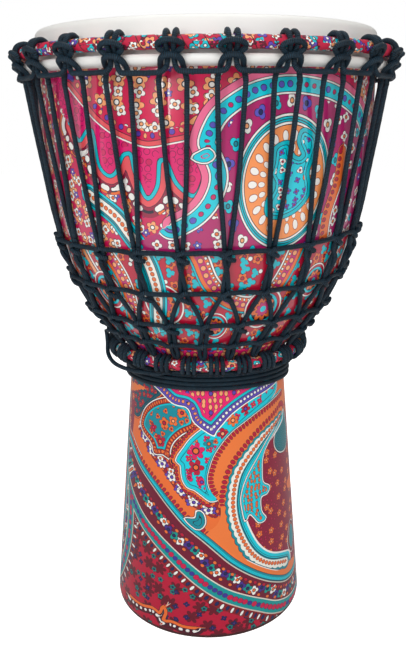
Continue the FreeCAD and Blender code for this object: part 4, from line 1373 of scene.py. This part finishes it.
for piece, name in ((stem_cloth, "stem"), (bowl_cloth, "bowl")):
    print(name, "print stored as", len(piece.data.attributes), "attributes")

# %% [markdown]
# ## The wound rings
# Both rings are bound with torn strips of the same print. Each lap of the strip starts under the one
# before it, so the wrap climbs in low steps round the rod.


# %% Ring wraps
def wound_ring(name, node, body, ring, laps):
    """A torus whose radius steps up over each lap: r = r0 + 0.35 (turn and lap share, 0 to 1)."""
    columns, sides = 720, 20
    a = np.linspace(-math.pi, math.pi, columns, endpoint=False)[:, None]
    t = np.linspace(0, 2 * math.pi, sides, endpoint=False)[None, :]
    lap = (a / (2 * math.pi) * laps + t / (2 * math.pi)) % 1
    radius = RING_CLOTH - 0.35 + 0.35 * np.minimum(lap * 1.15, 1) + 0.05 * np.sin(a * 41) * np.sin(2 * t)
    reach = ring[0] + radius * np.cos(t)
    points = np.stack([reach * np.sin(a), -reach * np.cos(a), ring[1] + radius * np.sin(t)], -1)
    faces, ci, cj = grid_faces(columns, sides, True, True)
    uv = np.stack([ci / columns * 2 * math.pi * ring[0], cj / sides * 2 * math.pi * RING_CLOTH], -1)
    piece = mesh_piece(name, points.reshape(-1, 3), faces, uv)
    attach(piece, body)
    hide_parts(node)
    return piece


def strip_print(name, laps, around):
    """The strip's print: patches of the bowl's inks, with painted shade in a thin dark line at the foot of
    each lap, where it runs under the lap before.
    """
    strip = Cloth(name)
    split = strip.node("SeparateXYZ", None, _0=strip.uv)
    along, across = Val(strip, split.outputs[0]), Val(strip, split.outputs[1])
    lap = strip.math("FRACT", along * (laps / around) + across * (1 / (2 * math.pi * RING_CLOTH)) + 20.0)
    strip.start(ink(196, 16, 62))
    for shift, spacing, count, petal, heart in (
            (3.0, 9.0, 4, MAROON, PINK), (11.0, 10.0, 5, WHITE, ORANGE), (29.0, 12.0, 3, CYAN, WHITE),
            (47.0, 13.0, 4, VIOLET, WHITE), (71.0, 15.0, 5, PEACH, CRIMSON)):
        place = strip.scattered(spacing, 0.9, shift)
        strip.bloom(place[2] > 0.4, place, spacing * 0.33, count, petal, heart)
    # painted shade: a thin dark line at the foot of each lap, in the step under the lap before
    strip.paint(lap < 0.05, ink(60, 8, 24))
    strip.bump(strip.math("MINIMUM", lap * 6.0, 1.0).socket, 0.5, 0.0006)
    return strip.finish(0.62)


crown_wrap = wound_ring("crown_ring_wrap", "crown_ring_cloth", "crown", CROWN, 64)
crown_wrap.data.materials.append(strip_print("crown_strip", 64, 2 * math.pi * CROWN[0]))
bottom_wrap = wound_ring("bottom_ring_wrap", "bottom_ring_cloth", "drum", LOW_RING, 36)
bottom_wrap.data.materials.append(strip_print("bottom_strip", 36, 2 * math.pi * LOW_RING[0]))

# %% [markdown]
# ## Pieces kept from the solid model
# The shell and the three steel rings are shown as they were built. The moulded shell is dark and a
# little grainy inside; the rods have fine marks from drawing.


# %% Shell and steel
def moulded():
    shell = Ink("shell_plastic")
    place = shell.node("TexCoord").outputs["Object"]
    grain = shell.node("TexNoise", None, Vector=place, Scale=180.0, Detail=4.0)
    cloud = shell.node("TexNoise", None, Vector=place, Scale=12.0, Detail=3.0)
    shell.start(ink(52, 12, 16))
    shell.paint(Val(shell, cloud.outputs[0]) * 0.5, ink(84, 24, 26))
    shell.bump(grain.outputs[0], 0.2, 0.0005)
    return shell.finish(Val(shell, grain.outputs[0]) * 0.2 + 0.34)


def steel():
    rod = Ink("drawn_steel")
    place = rod.node("TexCoord").outputs["Object"]
    marks = rod.node("TexNoise", None, Vector=place, Scale=240.0, Detail=5.0)
    rod.start(ink(168, 168, 172))
    rod.paint(Val(rod, marks.outputs[0]) * 0.4, ink(120, 118, 116))
    rod.bump(marks.outputs[0], 0.1, 0.0002)
    return rod.finish(Val(rod, marks.outputs[0]) * 0.25 + 0.25, Metallic=1.0)


def dress(node, material):
    """Gives a kept piece its material."""
    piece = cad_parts[node]
    piece.data.materials.clear()
    piece.data.materials.append(material)


dress("shell", moulded())
STEEL = steel()
for node in ("flesh_ring", "crown_ring", "bottom_ring"):
    dress(node, STEEL)

# %% [markdown]
# ## The cloth's cut
# Each band was cut flat and stretched round the shell under varnish, so its flat size is the widest
# turn by the length down the slope, and its area is the sum of ring by ring: 2 pi r ds.


# %% The cloth bands' radii
def flat_cut(low, high):
    """Works out a cloth band's radii at 400 heights from low to high; nothing is kept from them."""
    z = np.linspace(low, high, 400)
    r = shell_radius(z) + CLOTH


flat_cut(SEAM + 0.2, 590.0)
flat_cut(3.0, SEAM - 0.3)
